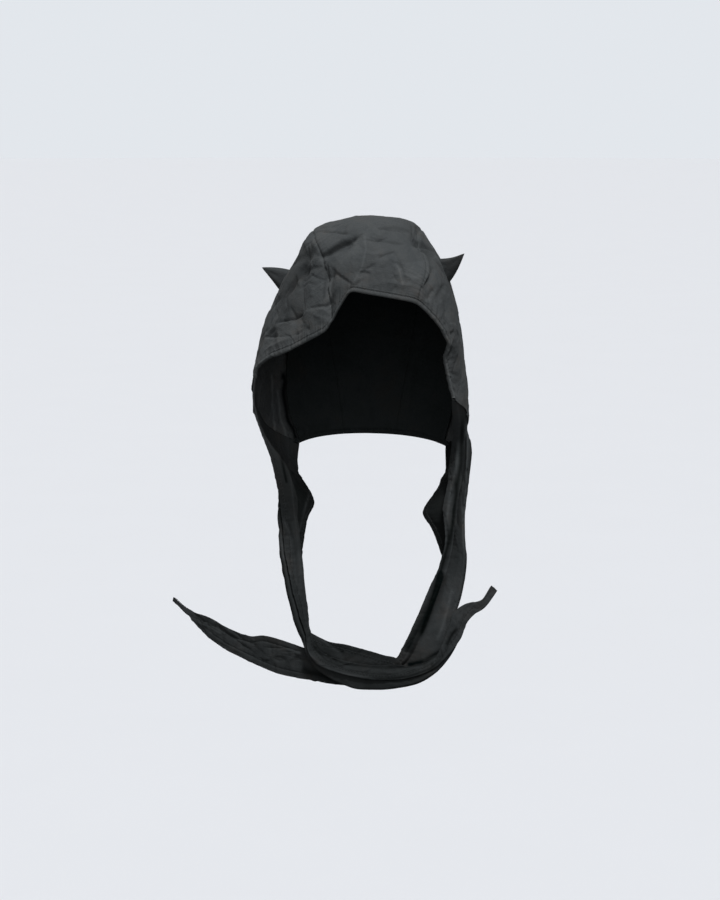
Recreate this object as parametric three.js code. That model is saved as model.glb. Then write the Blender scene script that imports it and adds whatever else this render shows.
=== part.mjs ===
// Hooded scarf: a lined nylon hood with two padded horns and two long folded scarf tails, as it is worn.
// Millimetres, +Z up. The front faces -Y and the wearer's right is at -X.
// The origin is at the inside of the crown, where the top of a head sits.
import * as THREE from "three";

// Hood
const HOOD_WIDTH = 236; // over the ears
const HOOD_HEIGHT = 256; // crown to nape hem
const BRIM_REACH = 108; // brim in front of the ears
const BACK_REACH = 104; // back of the hood behind the ears
const EDGE_BLEND = 0.34; // share of the hood's length in which the shape of its front edge fades out
const HEM_WIDTH = 6;
const HORN_LENGTH = 35;
const HORN_BASE = 29;
const HORN_PADDING = 13;

// Scarf
const SCARF_DROP = 258; // nape hem to the lowest edge of the crossing
const LEFT_TAIL_SPREAD = 88; // free end outside the hood's widest line
const RIGHT_TAIL_SPREAD = 34;
const LAYER_PITCH = 3; // from one folded layer to the next

// Cloth
const LINING_THICKNESS = 1;
const SHELL_THICKNESS = 1.2;
const HEM_THICKNESS = 3.2;
const SCARF_THICKNESS = 1.8;
const SEAM_GAP = 0.4; // between sewn neighbours
const LAYER_GAP = 0.4; // between lining and shell
const SCARF_GAP = 1; // between the hood's side edge and the scarf
const SURFACE_STEP = 0.002; // for slopes, as a share of a surface's length

const LINING_BOTTOM = 0;
const SHELL_BOTTOM = LINING_THICKNESS + LAYER_GAP;
const SHELL_TOP = SHELL_BOTTOM + SHELL_THICKNESS;

// Line over the middle of the hood. at: brim 0 to nape 1. reach: 1 at the brim or at the back.
// fall: 0 at the crown, 1 at the nape hem. lean: to the right, as a share of half the width.
const PROFILE = [
  { at: 0, reach: -1, fall: 0.29, lean: 0.02 },
  { at: 0.06, reach: -0.965, fall: 0.175, lean: 0.03 },
  { at: 0.12, reach: -0.875, fall: 0.09, lean: 0.04 },
  { at: 0.19, reach: -0.7, fall: 0.03, lean: 0.05 },
  { at: 0.28, reach: -0.4, fall: 0.003, lean: 0.05 },
  { at: 0.38, reach: 0, fall: 0.006, lean: 0.05 },
  { at: 0.48, reach: 0.38, fall: 0.03, lean: 0.05 },
  { at: 0.57, reach: 0.7, fall: 0.1, lean: 0.04 },
  { at: 0.66, reach: 0.91, fall: 0.235, lean: 0.02 },
  { at: 0.76, reach: 1, fall: 0.42, lean: 0 },
  { at: 0.88, reach: 0.99, fall: 0.68, lean: 0 },
  { at: 1, reach: 0.93, fall: 0.98, lean: 0 },
];

// Lower side edges, where the scarf is sewn on. out: share of half the width. lean: as above.
// wrap: share of a quarter turn that the cloth takes from the top to this edge.
// left, right: how square the arch over the head is on that side (2 is an ellipse).
const SIDE_EDGE = [
  { at: 0, out: 0.91, reach: -0.57, fall: 0.7, lean: 0, wrap: 1, left: 2, right: 2.4 },
  { at: 0.25, out: 0.965, reach: -0.28, fall: 0.79, lean: 0.02, wrap: 1.03, left: 1.88, right: 2.35 },
  { at: 0.5, out: 0.965, reach: 0, fall: 0.87, lean: 0.025, wrap: 1.03, left: 1.85, right: 2.25 },
  { at: 0.75, out: 0.9, reach: 0.27, fall: 0.945, lean: 0.03, wrap: 0.9, left: 1.95, right: 2.1 },
  { at: 1, out: 0.71, reach: 0.48, fall: 1.008, lean: 0.05, wrap: 0.67, left: 2.2, right: 2.2 },
];

// Front edge of the hood. across: -1 at the left scarf, 0 at the top, 1 at the right scarf.
const FACE_EDGE = [
  { across: -1, out: -0.905, reach: -0.574, fall: 0.662 },
  { across: -0.874, out: -0.86, reach: -0.61, fall: 0.62 },
  { across: -0.81, out: -0.787, reach: -0.667, fall: 0.593 },
  { across: -0.71, out: -0.634, reach: -0.76, fall: 0.567 },
  { across: -0.47, out: -0.388, reach: -0.87, fall: 0.506 },
  { across: -0.28, out: -0.243, reach: -0.926, fall: 0.47 },
  { across: -0.18, out: -0.168, reach: -0.944, fall: 0.443 },
  { across: -0.08, out: -0.075, reach: -0.97, fall: 0.37 },
  { across: 0, out: 0.01, reach: -0.99, fall: 0.308 },
  { across: 0.045, out: 0.06, reach: -1, fall: 0.288 },
  { across: 0.12, out: 0.174, reach: -1, fall: 0.295 },
  { across: 0.33, out: 0.482, reach: -0.954, fall: 0.32 },
  { across: 0.42, out: 0.612, reach: -0.907, fall: 0.337 },
  { across: 0.49, out: 0.697, reach: -0.861, fall: 0.371 },
  { across: 0.57, out: 0.781, reach: -0.806, fall: 0.418 },
  { across: 0.655, out: 0.847, reach: -0.741, fall: 0.47 },
  { across: 0.72, out: 0.889, reach: -0.694, fall: 0.514 },
  { across: 0.795, out: 0.865, reach: -0.639, fall: 0.57 },
  { across: 0.86, out: 0.853, reach: -0.602, fall: 0.61 },
  { across: 0.94, out: 0.87, reach: -0.574, fall: 0.666 },
  { across: 1, out: 0.912, reach: -0.537, fall: 0.743 },
];

// Seams between the centre panel and the side panels
const SEAMS = [
  { at: 0, left: -0.14, right: 0.43 },
  { at: 0.12, left: -0.2, right: 0.44 },
  { at: 0.3, left: -0.26, right: 0.32 },
  { at: 0.55, left: -0.3, right: 0.3 },
  { at: 0.8, left: -0.35, right: 0.33 },
  { at: 1, left: -0.32, right: 0.27 },
];

// Side edges of the lining. In front of them the shell cloth faces inwards.
const LINING_EDGE = [
  { at: 0, side: 0.7 },
  { at: 0.3, side: 0.66 },
  { at: 0.6, side: 0.61 },
  { at: 0.7, side: 0.7 },
  { at: 0.8, side: 0.8 },
  { at: 1, side: 0.93 },
];

// Dents (depth above 0) and ridges (below 0) of the hood, each along a line from one place to another.
// at and across are as above. width and depth are shares of HEM_WIDTH.
const FOLDS = [
  { name: "wedge", at: 0.14, across: 0.02, toAt: 0.1, toAcross: -0.17, width: 1, depth: 0.75 },
  { name: "wedge roof", at: 0.17, across: 0.02, toAt: 0.15, toAcross: -0.2, width: 1.1, depth: -0.45 },
  { name: "left brow", at: 0.1, across: -0.15, toAt: 0.02, toAcross: -0.15, width: 0.8, depth: 0.45 },
  { name: "left crown", at: 0.24, across: -0.33, toAt: 0.42, toAcross: -0.36, width: 3.4, depth: -0.75 },
  { name: "right crown", at: 0.26, across: 0.33, toAt: 0.42, toAcross: 0.38, width: 3.4, depth: -0.9 },
  { name: "left temple", at: 0.2, across: -0.36, toAt: 0.08, toAcross: -0.5, width: 1.4, depth: 0.5 },
  { name: "left cheek", at: 0.05, across: -0.82, toAt: 0.12, toAcross: -0.72, width: 1.6, depth: 0.5 },
  { name: "left pleat", at: 0.2, across: -0.27, toAt: 0.3, toAcross: -0.45, width: 1, depth: 0.5 },
  { name: "right pleat", at: 0.2, across: 0.36, toAt: 0.3, toAcross: 0.52, width: 1, depth: 0.6 },
  { name: "right brow", at: 0.03, across: 0.42, toAt: 0.14, toAcross: 0.44, width: 1.4, depth: -0.35 },
  { name: "right cheek", at: 0.12, across: 0.6, toAt: 0.03, toAcross: 0.8, width: 1.5, depth: 0.4 },
  { name: "right ear", at: 0.38, across: 0.62, toAt: 0.42, toAcross: 0.8, width: 6, depth: 0.9 },
  { name: "nape", at: 0.97, across: 0.1, toAt: 0.9, toAcross: -0.1, width: 1.6, depth: 0.4 },
];

// Horns. at, across: middle of the base. lean: of the tip in shares of the length, to the front and up.
const HORNS = [
  { name: "horn_left", at: 0.43, across: -0.515, forward: 0.4, rise: 0.6 },
  { name: "horn_right", at: 0.43, across: 0.5, forward: 0.75, rise: 1.1 },
];
const HORN_SIDES = 12;
// Sections of a horn from its base to its tip
const HORN_SECTIONS = [
  { at: 0.22, size: 0.74 },
  { at: 0.5, size: 0.46 },
  { at: 0.8, size: 0.19 },
  { at: 0.97, size: 0.06 },
];

// Scarf tails, one row for each section from the hood to the free end. The section runs between two lines,
// outer and inner. out passes 1 beyond the hood's half width and is 2 at the tail's end. fall is 1 at the
// nape hem and 2 at the lowest edge. folds: where the cloth's front edge, its two folds and its back edge lie
// between the lines (outer 0, inner 1). stack: how far the layers lie apart, free: 0 on the hood's seam. Both
// are 1 where a row doesn't say.
const LEFT_SCARF = [
  { outer: [-0.905, -0.574, 0.662], inner: [-0.664, 0.481, 1], folds: [0, 0.33, 0.67, 1],
    stack: 0, free: 0 },
  { outer: [-0.911, -0.602, 0.762], inner: [-0.647, 0.423, 1.04], folds: [0, 0.33, 0.67, 1],
    stack: 0.2, free: 0.35 },
  { outer: [-0.858, -0.648, 0.865], inner: [-0.614, 0.327, 1.078], folds: [0, 0.36, 0.6, 1],
    stack: 0.6, free: 0.7 },
  { outer: [-0.739, -0.704, 1.001], inner: [-0.515, 0.173, 1.121], folds: [0, 0.4, 0.38, 1] },
  { outer: [-0.65, -0.778, 1.16], inner: [-0.372, -0.037, 1.219], folds: [0, 0.42, 0.12, 1] },
  { outer: [-0.615, -0.833, 1.262], inner: [-0.405, -0.278, 1.29], folds: [0, 0.5, 0.06, 1] },
  { outer: [-0.555, -0.917, 1.45], inner: [-0.415, -0.574, 1.47], folds: [0, 0.75, 0.04, 1] },
  { outer: [-0.422, -1, 1.64], inner: [-0.365, -0.796, 1.652], folds: [0, 0.8, 0.05, 1] },
  { outer: [-0.372, -1.028, 1.722], inner: [-0.317, -0.898, 1.702], folds: [0, 0.6, 0, 1] },
  { outer: [-0.342, -1.046, 1.791], inner: [-0.179, -0.963, 1.742], folds: [0, 0.45, -0.05, 1] },
  { outer: [-0.23, -1.065, 1.848], inner: [-0.009, -1, 1.757], folds: [0, 0.42, -0.1, 1] },
  { outer: [0.139, -1.079, 1.892], inner: [0.333, -1.028, 1.796], folds: [0, 0.55, -0.38, 1] },
  { outer: [0.34, -1.083, 1.897], inner: [0.471, -1.037, 1.811], folds: [0, 0.72, -0.42, 1] },
  { outer: [0.523, -1.083, 1.89], inner: [0.564, -1.046, 1.842], folds: [0, 1, -0.6, 0.8] },
  { outer: [0.703, -1.074, 1.867], inner: [0.717, -1.037, 1.824], folds: [0, 1, -0.55, 0.75] },
  { outer: [0.846, -1.046, 1.83], inner: [0.833, -1.019, 1.79], folds: [0, 1, -0.3, 0.75] },
  { outer: [1.125, -0.963, 1.729], inner: [0.934, -0.944, 1.669], folds: [0, 1, 0.1, 0.75] },
  { outer: [1.322, -0.898, 1.663], inner: [0.965, -0.898, 1.622], folds: [0, 1, 0.1, 0.8] },
  { outer: [1.55, -0.824, 1.63], inner: [1.232, -0.824, 1.589], folds: [0, 1, 0.1, 0.85] },
  { outer: [1.897, -0.722, 1.599], inner: [1.706, -0.722, 1.579], folds: [0, 1, 0.1, 0.85] },
  { outer: [2.178, -0.611, 1.548], inner: [1.987, -0.611, 1.527], folds: [0, 1, 0.1, 0.85] },
];
const RIGHT_SCARF = [
  { outer: [0.995, -0.046, 0.878], inner: [0.76, 0.481, 1.018], folds: [0.6, 0.35, 0, 1],
    stack: 0, free: 0 },
  { outer: [1.02, -0.093, 0.944], inner: [0.758, 0.404, 1.07], folds: [0.6, 0.35, 0, 1],
    stack: 0.3, free: 0.2 },
  { outer: [1.02, -0.204, 1.045], inner: [0.729, 0.269, 1.115], folds: [0.6, 0.35, 0, 1],
    stack: 0.7, free: 0.5 },
  { outer: [0.995, -0.333, 1.135], inner: [0.704, 0.096, 1.156], folds: [0.45, 0.33, 0, 1],
    stack: 1, free: 0.85 },
  { outer: [0.985, -0.426, 1.213], inner: [0.555, -0.074, 1.25], folds: [0.37, 0.27, 0, 1] },
  { outer: [0.99, -0.509, 1.301], inner: [0.666, -0.241, 1.324], folds: [0.44, 0.33, 0, 1] },
  { outer: [1.02, -0.574, 1.381], inner: [0.751, -0.389, 1.397], folds: [0.66, 0.5, 0, 1] },
  { outer: [1.04, -0.63, 1.44], inner: [0.787, -0.5, 1.474], folds: [0.98, 0.75, 0, 0.85] },
  { outer: [1.02, -0.704, 1.532], inner: [0.718, -0.63, 1.541], folds: [1, 0.75, 0, 0.6] },
  { outer: [0.971, -0.769, 1.607], inner: [0.657, -0.741, 1.614], folds: [1, 0.75, 0, 0.5] },
  { outer: [0.847, -0.889, 1.781], inner: [0.517, -0.88, 1.765], folds: [1, 0.72, 0, 0.45] },
  { outer: [0.705, -0.917, 1.873], inner: [0.448, -0.917, 1.818], folds: [1, 0.72, 0.05, 0.4] },
  { outer: [0.488, -0.935, 1.926], inner: [0.341, -0.935, 1.834], folds: [1, 0.7, 0.15, 0.25] },
  { outer: [0.213, -0.944, 1.948], inner: [0.158, -0.944, 1.84], folds: [1, 0.68, 0.25, 0.1],
    stack: 0.6, free: 1 },
  { outer: [-0.063, -0.944, 1.937], inner: [-0.081, -0.944, 1.818], folds: [1, 0.67, 0.33, 0],
    stack: 0.2, free: 1 },
  { outer: [-0.34, -0.944, 1.92], inner: [-0.357, -0.944, 1.788], folds: [1, 0.67, 0.33, 0],
    stack: 0, free: 1 },
  { outer: [-0.62, -0.926, 1.9], inner: [-0.6, -0.926, 1.755], folds: [1, 0.67, 0.33, 0],
    stack: 0, free: 1 },
  { outer: [-0.793, -0.889, 1.876], inner: [-0.773, -0.889, 1.741], folds: [1, 0.67, 0.33, 0],
    stack: 0, free: 1 },
  { outer: [-0.959, -0.843, 1.848], inner: [-0.911, -0.843, 1.749], folds: [1, 0.67, 0.33, 0],
    stack: 0, free: 1 },
  { outer: [-1.249, -0.769, 1.807], inner: [-1.172, -0.769, 1.724], folds: [1, 0.67, 0.33, 0],
    stack: 0, free: 1 },
  { outer: [-1.512, -0.667, 1.754], inner: [-1.447, -0.667, 1.688], folds: [1, 0.67, 0.33, 0],
    stack: 0, free: 1 },
  { outer: [-1.703, -0.556, 1.7], inner: [-1.651, -0.556, 1.678], folds: [1, 0.67, 0.33, 0],
    stack: 0, free: 1 },
  { outer: [-1.837, -0.472, 1.669], inner: [-1.812, -0.472, 1.656], folds: [1, 0.67, 0.33, 0],
    stack: 0, free: 1 },
  { outer: [-1.955, -0.407, 1.645], inner: [-1.942, -0.407, 1.628], folds: [1, 0.67, 0.33, 0],
    stack: 0, free: 1 },
];
// Where the layer of a folded section changes, and the places at which a section is sampled
const FIRST_FOLD = 1 / 3; // share of the cloth's width
const SECOND_FOLD = 2 / 3;
const FOLD_TURN = 0.075;
const SECTION_STEPS = [0, 0.13, 0.24, 0.28, 0.31, FIRST_FOLD, 0.36, 0.39, 0.43, 0.5,
  0.57, 0.61, 0.64, SECOND_FOLD, 0.69, 0.72, 0.76, 0.87, 1];
const SCARF_STEPS = 34;

// How many facets the hood's pieces have
const PANEL_ROWS = 26;
const CENTRE_COLUMNS = 9;
const LINED_COLUMNS = 5;
const FACING_COLUMNS = 5;
const HEM_COLUMNS = CENTRE_COLUMNS + 2 * (LINED_COLUMNS + FACING_COLUMNS) + 2; // with one more at each seam

const HALF_WIDTH = HOOD_WIDTH / 2;
const QUARTER_TURN = Math.PI / 2;

// Places from shares of the named sizes
function acrossFrom(out, spreads) {
  const beyond = Math.abs(out) - 1;
  if (beyond <= 0) return out * HALF_WIDTH;
  return Math.sign(out) * (HALF_WIDTH + beyond * (out < 0 ? spreads.left : spreads.right));
}

function depthFrom(reach) {
  return reach * (reach < 0 ? BRIM_REACH : BACK_REACH);
}

function heightFrom(fall) {
  return fall <= 1 ? -fall * HOOD_HEIGHT : -HOOD_HEIGHT - (fall - 1) * SCARF_DROP;
}

const TAIL_SPREADS = { left: LEFT_TAIL_SPREAD, right: RIGHT_TAIL_SPREAD };

function place(out, reach, fall) {
  return new THREE.Vector3(acrossFrom(out, TAIL_SPREADS), depthFrom(reach), heightFrom(fall));
}

// Smooth curve through the values of one column at given knots
function smoothThrough(knots, values, at) {
  const last = knots.length - 1;
  let k = 0;
  while (k < last - 1 && at > knots[k + 1]) k += 1;
  const slope = (i) => {
    const before = Math.max(i - 1, 0);
    const after = Math.min(i + 1, last);
    return (values[after] - values[before]) / (knots[after] - knots[before]);
  };
  const span = knots[k + 1] - knots[k];
  const u = (at - knots[k]) / span;
  const u2 = u * u;
  const u3 = u2 * u;
  return (2 * u3 - 3 * u2 + 1) * values[k] + (u3 - 2 * u2 + u) * span * slope(k)
    + (3 * u2 - 2 * u3) * values[k + 1] + (u3 - u2) * span * slope(k + 1);
}

function column(table, key, at, knot = "at") {
  return smoothThrough(table.map((row) => row[knot]), table.map((row) => row[key]), at);
}

function smoothStep(from, to, value) {
  return THREE.MathUtils.smoothstep(value, from, to);
}

function tablePlace(table, acrossKey, at, knot = "at") {
  const read = (key) => column(table, key, at, knot);
  return place(read(acrossKey), read("reach"), read("fall"));
}

// Hood surface. at: 0 at the front edge, 1 at the nape. across: -1 and 1 at the scarf seams.
function archPoint(at, across) {
  const top = tablePlace(PROFILE, "lean", at);
  const side = tablePlace(SIDE_EDGE, "out", at);
  const sideLean = column(SIDE_EDGE, "lean", at) * HALF_WIDTH;
  const wrap = column(SIDE_EDGE, "wrap", at) * QUARTER_TURN;
  const square = column(SIDE_EDGE, across < 0 ? "left" : "right", at);
  const direction = (angle) => {
    const size = (Math.abs(Math.sin(angle)) ** square + Math.abs(Math.cos(angle)) ** square) ** (-1 / square);
    return { out: Math.sin(angle) * size, up: Math.cos(angle) * size };
  };
  const edge = direction(wrap);
  const here = direction(wrap * across);
  const drop = (1 - here.up) / (1 - edge.up);
  return new THREE.Vector3(
    side.x * here.out / edge.out + THREE.MathUtils.lerp(top.x, sideLean, drop),
    THREE.MathUtils.lerp(top.y, side.y, drop),
    THREE.MathUtils.lerp(top.z, side.z, drop),
  );
}

function faceEdgePoint(across) {
  return tablePlace(FACE_EDGE, "out", across, "across");
}

function smoothHoodPoint(at, across) {
  const point = archPoint(at, across);
  const fade = 1 - smoothStep(0, EDGE_BLEND, at);
  if (fade > 0) point.addScaledVector(faceEdgePoint(across).sub(archPoint(0, across)), fade);
  return point;
}

// Unit normal of a surface that is given by a function of two shares
function normalOf(surface, u, v, uMax = 1, vMin = 0, vMax = 1) {
  const u0 = Math.max(u - SURFACE_STEP, 0);
  const u1 = Math.min(u + SURFACE_STEP, uMax);
  const v0 = Math.max(v - SURFACE_STEP, vMin);
  const v1 = Math.min(v + SURFACE_STEP, vMax);
  const alongU = surface(u1, v).sub(surface(u0, v));
  const alongV = surface(u, v1).sub(surface(u, v0));
  return alongV.cross(alongU).normalize();
}

function hoodNormal(at, across) {
  return normalOf(smoothHoodPoint, at, across, 1, -1, 1);
}

// Depth of all folds at a place
const FOLD_LINES = FOLDS.map((fold) => ({
  from: smoothHoodPoint(fold.at, fold.across),
  to: smoothHoodPoint(fold.toAt, fold.toAcross),
  width: fold.width * HEM_WIDTH,
  depth: fold.depth * HEM_WIDTH,
}));

function foldDepth(point) {
  let depth = 0;
  const nearest = new THREE.Vector3();
  for (const line of FOLD_LINES) {
    new THREE.Line3(line.from, line.to).closestPointToPoint(point, true, nearest);
    const distance = nearest.distanceTo(point) / line.width;
    depth += line.depth * Math.exp(-distance * distance);
  }
  return depth;
}

function hoodPoint(at, across, height) {
  const point = smoothHoodPoint(at, across);
  return point.addScaledVector(hoodNormal(at, across), height - foldDepth(point));
}

// How far a length in mm goes in shares of the hood's surface
function shareAlong(at, across, length) {
  const inward = at < 0.5 ? SURFACE_STEP : -SURFACE_STEP;
  return length * SURFACE_STEP / smoothHoodPoint(at + inward, across).distanceTo(smoothHoodPoint(at, across));
}

function shareAcross(at, across, length) {
  const inward = across < 0 ? SURFACE_STEP : -SURFACE_STEP;
  return length * SURFACE_STEP / smoothHoodPoint(at, across + inward).distanceTo(smoothHoodPoint(at, across));
}

// Closed solid between two sheets of points, each a list of rows
function solidBetween(name, material, upper, lower) {
  const rows = upper.length;
  const columns = upper[0].length;
  const positions = [...upper, ...lower].flat().flatMap((point) => point.toArray());
  const top = (r, c) => r * columns + c;
  const bottom = (r, c) => rows * columns + top(r, c);
  const triangles = [];
  const quad = (a, b, c, d) => triangles.push(a, b, c, a, c, d);
  for (let r = 0; r < rows - 1; r += 1) {
    for (let c = 0; c < columns - 1; c += 1) {
      quad(top(r, c), top(r, c + 1), top(r + 1, c + 1), top(r + 1, c));
      quad(bottom(r, c), bottom(r + 1, c), bottom(r + 1, c + 1), bottom(r, c + 1));
    }
    quad(top(r, 0), top(r + 1, 0), bottom(r + 1, 0), bottom(r, 0));
    quad(top(r, columns - 1), bottom(r, columns - 1), bottom(r + 1, columns - 1), top(r + 1, columns - 1));
  }
  for (let c = 0; c < columns - 1; c += 1) {
    quad(top(0, c), bottom(0, c), bottom(0, c + 1), top(0, c + 1));
    quad(top(rows - 1, c), top(rows - 1, c + 1), bottom(rows - 1, c + 1), bottom(rows - 1, c));
  }
  return namedMesh(name, material, positions, triangles);
}

function namedMesh(name, material, positions, triangles) {
  const geometry = new THREE.BufferGeometry();
  geometry.setAttribute("position", new THREE.Float32BufferAttribute(positions, 3));
  geometry.setIndex(triangles);
  geometry.computeVertexNormals();
  const mesh = new THREE.Mesh(geometry, material);
  mesh.name = name;
  return mesh;
}

// Piece of the hood. grid: places across at a given at, from left to right. first, last: its columns in it.
// Lining and shell share one grid, so that their facets stay parallel.
function hoodPiece({ name, material, grid, first = 0, last, front, back, bottom, top, rows }) {
  const columns = Array.from({ length: last - first + 1 }, (_, k) => first + k);
  const sheet = (height) => Array.from({ length: rows + 1 }, (_, r) => (
    columns.map((c) => {
      const at = THREE.MathUtils.lerp(front(grid, c), back(grid, c), r / rows);
      return hoodPoint(at, grid(at)[c], height);
    })
  ));
  return solidBetween(name, material, sheet(top), sheet(bottom));
}

function evenly(from, to, parts) {
  return Array.from({ length: parts + 1 }, (_, k) => THREE.MathUtils.lerp(from, to, k / parts));
}

function seamAt(key, at, side) {
  const across = column(SEAMS, key, at);
  return across + side * shareAcross(at, across, SEAM_GAP / 2);
}

const centreGrid = (at) => evenly(seamAt("left", at, 1), seamAt("right", at, -1), CENTRE_COLUMNS);
const leftGrid = (at) => {
  const liningEdge = -column(LINING_EDGE, "side", at);
  return [...evenly(-1, liningEdge, FACING_COLUMNS),
    ...evenly(liningEdge, seamAt("left", at, -1), LINED_COLUMNS).slice(1)];
};
const rightGrid = (at) => {
  const liningEdge = column(LINING_EDGE, "side", at);
  return [...evenly(seamAt("right", at, 1), liningEdge, LINED_COLUMNS),
    ...evenly(liningEdge, 1, FACING_COLUMNS).slice(1)];
};
const fullGrid = (at) => [...leftGrid(at), ...centreGrid(at), ...rightGrid(at)];

// Ends of pieces along the hood, for one column of a grid
const faceEdge = () => 0;
const napeEdge = () => 1;
const faceHemEnd = (grid, c) => shareAlong(0, grid(0)[c], HEM_WIDTH);
const napeHemEnd = (grid, c) => 1 - shareAlong(1, grid(1)[c], HEM_WIDTH);
const insideFaceHem = (grid, c) => shareAlong(0, grid(0)[c], HEM_WIDTH + SEAM_GAP);
const insideNapeHem = (grid, c) => 1 - shareAlong(1, grid(1)[c], HEM_WIDTH + SEAM_GAP);

function hoodPanels() {
  const side = FACING_COLUMNS + LINED_COLUMNS;
  const cloth = { front: insideFaceHem, back: insideNapeHem, rows: PANEL_ROWS };
  const shell = { ...cloth, material: shellFabric, bottom: SHELL_BOTTOM, top: SHELL_TOP };
  const lining = { ...cloth, material: liningFabric, bottom: LINING_BOTTOM, top: LINING_THICKNESS };
  return [
    hoodPiece({ ...shell, name: "hood_centre_panel", grid: centreGrid, last: CENTRE_COLUMNS }),
    hoodPiece({ ...shell, name: "hood_left_panel", grid: leftGrid, last: side }),
    hoodPiece({ ...shell, name: "hood_right_panel", grid: rightGrid, last: side }),
    hoodPiece({ ...lining, name: "lining_centre", grid: centreGrid, last: CENTRE_COLUMNS }),
    hoodPiece({ ...lining, name: "lining_left", grid: leftGrid, first: FACING_COLUMNS, last: side }),
    hoodPiece({ ...lining, name: "lining_right", grid: rightGrid, last: LINED_COLUMNS }),
  ];
}

// Horn: sections that shrink from a base on the hood's surface to a blunt tip
function horn({ name, at, across, forward, rise }, material) {
  const sides = HORN_SIDES;
  const height = SHELL_TOP + SEAM_GAP;
  const alongHalf = shareAlong(at, across, HORN_BASE / 2);
  const acrossHalf = shareAcross(at, across, HORN_BASE / 2);
  const slim = HORN_PADDING / HORN_BASE;
  const basePoint = (size, angle) => hoodPoint(at + Math.cos(angle) * slim * alongHalf * size,
    across + Math.sin(angle) * acrossHalf * size, height);
  const centre = hoodPoint(at, across, height);
  const tip = centre.clone().add(new THREE.Vector3(Math.sign(across), -forward, rise).normalize()
    .multiplyScalar(HORN_LENGTH));
  const rings = [Array.from({ length: sides }, (_, k) => basePoint(1, 2 * Math.PI * k / sides))];
  for (const section of HORN_SECTIONS) {
    rings.push(rings[0].map((point) => centre.clone().lerp(tip, section.at)
      .add(point.clone().sub(centre).multiplyScalar(section.size))));
  }
  const positions = [centre, ...rings.flat(), tip].flatMap((point) => point.toArray());
  const tipIndex = 1 + rings.length * sides;
  const triangles = [];
  const add = (a, b, c) => triangles.push(a, b, c);
  for (let k = 0; k < sides; k += 1) {
    const next = (k + 1) % sides;
    add(0, 1 + k, 1 + next);
    for (let ring = 0; ring < rings.length - 1; ring += 1) {
      const low = 1 + ring * sides;
      const high = low + sides;
      add(low + k, high + k, high + next);
      add(low + k, high + next, low + next);
    }
    add(tipIndex - sides + k, tipIndex, tipIndex - sides + next);
  }
  return namedMesh(name, material, positions, triangles);
}

// 0 before a fold across the cloth's width, 1 behind it
function layerBehind(fold, w) {
  return smoothStep(fold - FOLD_TURN, fold + FOLD_TURN, w);
}

// Scarf tail: a folded cloth. along: 0 at the hood's seam, 1 at the free end. w: front edge 0, back edge 1.
function scarfSurface(rows, side) {
  const outer = rows.map((row) => place(...row.outer));
  const inner = rows.map((row) => place(...row.inner));
  const middles = outer.map((point, k) => point.clone().lerp(inner[k], 0.5));
  const knots = [0];
  for (let k = 1; k < rows.length; k += 1) knots.push(knots[k - 1] + middles[k].distanceTo(middles[k - 1]));
  const length = knots[knots.length - 1];
  const shares = knots.map((knot) => knot / length);
  const vectorAt = (points, along) => new THREE.Vector3(
    smoothThrough(shares, points.map((point) => point.x), along),
    smoothThrough(shares, points.map((point) => point.y), along),
    smoothThrough(shares, points.map((point) => point.z), along),
  );
  const valueAt = (read, along) => smoothThrough(shares, rows.map(read), along);
  const seam = (w) => {
    const hem = shareAcross(w, side, SCARF_GAP);
    const edge = hoodPoint(w, side, SHELL_BOTTOM);
    const inside = hoodPoint(w, side * (1 - hem), SHELL_BOTTOM);
    return edge.multiplyScalar(2).sub(inside);
  };
  return (along, w) => {
    const outerHere = vectorAt(outer, along);
    const innerHere = vectorAt(inner, along);
    const step = along < 0.5 ? SURFACE_STEP : -SURFACE_STEP;
    const ahead = vectorAt(outer, along + step).add(vectorAt(inner, along + step));
    const heading = ahead.sub(outerHere).sub(innerHere).multiplyScalar(Math.sign(step)).normalize();
    const spread = innerHere.clone().sub(outerHere);
    const facing = heading.cross(spread).normalize().multiplyScalar(-side);
    const folds = rows[0].folds.map((_, k) => valueAt((row) => row.folds[k], along));
    const share = smoothThrough([0, FIRST_FOLD, SECOND_FOLD, 1], folds, w);
    const layer = layerBehind(FIRST_FOLD, w) + layerBehind(SECOND_FOLD, w);
    const depth = layer * LAYER_PITCH * valueAt((row) => row.stack ?? 1, along);
    const section = outerHere.clone().addScaledVector(spread, share).addScaledVector(facing, -depth);
    const free = THREE.MathUtils.clamp(valueAt((row) => row.free ?? 1, along), 0, 1);
    if (free >= 1) return section;
    const hanging = seam(w).add(outerHere).sub(outer[0]);
    return hanging.lerp(section, free);
  };
}

function scarf(name, rows, side, material) {
  const surface = scarfSurface(rows, side);
  const sheet = (height) => Array.from({ length: SCARF_STEPS + 1 }, (_, r) => (
    SECTION_STEPS.map((w) => surface(r / SCARF_STEPS, w)
      .addScaledVector(normalOf((u, v) => surface(u, v), r / SCARF_STEPS, w), height * side))
  ));
  return solidBetween(name, material, sheet(side * SCARF_THICKNESS / 2), sheet(-side * SCARF_THICKNESS / 2));
}

const fabric = (color) => new THREE.MeshStandardMaterial({ color, roughness: 0.6, metalness: 0 });
const shellFabric = fabric(0x34383a);
const liningFabric = fabric(0x0d0f10);
const hornFabric = fabric(0x2b2e30);

const group = new THREE.Group();
group.add(...hoodPanels());
group.add(hoodPiece({
  name: "face_hem", material: shellFabric, grid: fullGrid, last: HEM_COLUMNS,
  front: faceEdge, back: faceHemEnd, bottom: LINING_BOTTOM, top: HEM_THICKNESS, rows: 1,
}));
group.add(hoodPiece({
  name: "nape_hem", material: liningFabric, grid: fullGrid, last: HEM_COLUMNS,
  front: napeHemEnd, back: napeEdge, bottom: LINING_BOTTOM, top: HEM_THICKNESS, rows: 1,
}));
for (const row of HORNS) group.add(horn(row, hornFabric));
group.add(scarf("scarf_left", LEFT_SCARF, -1, shellFabric));
group.add(scarf("scarf_right", RIGHT_SCARF, 1, shellFabric));

export default group;
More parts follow.
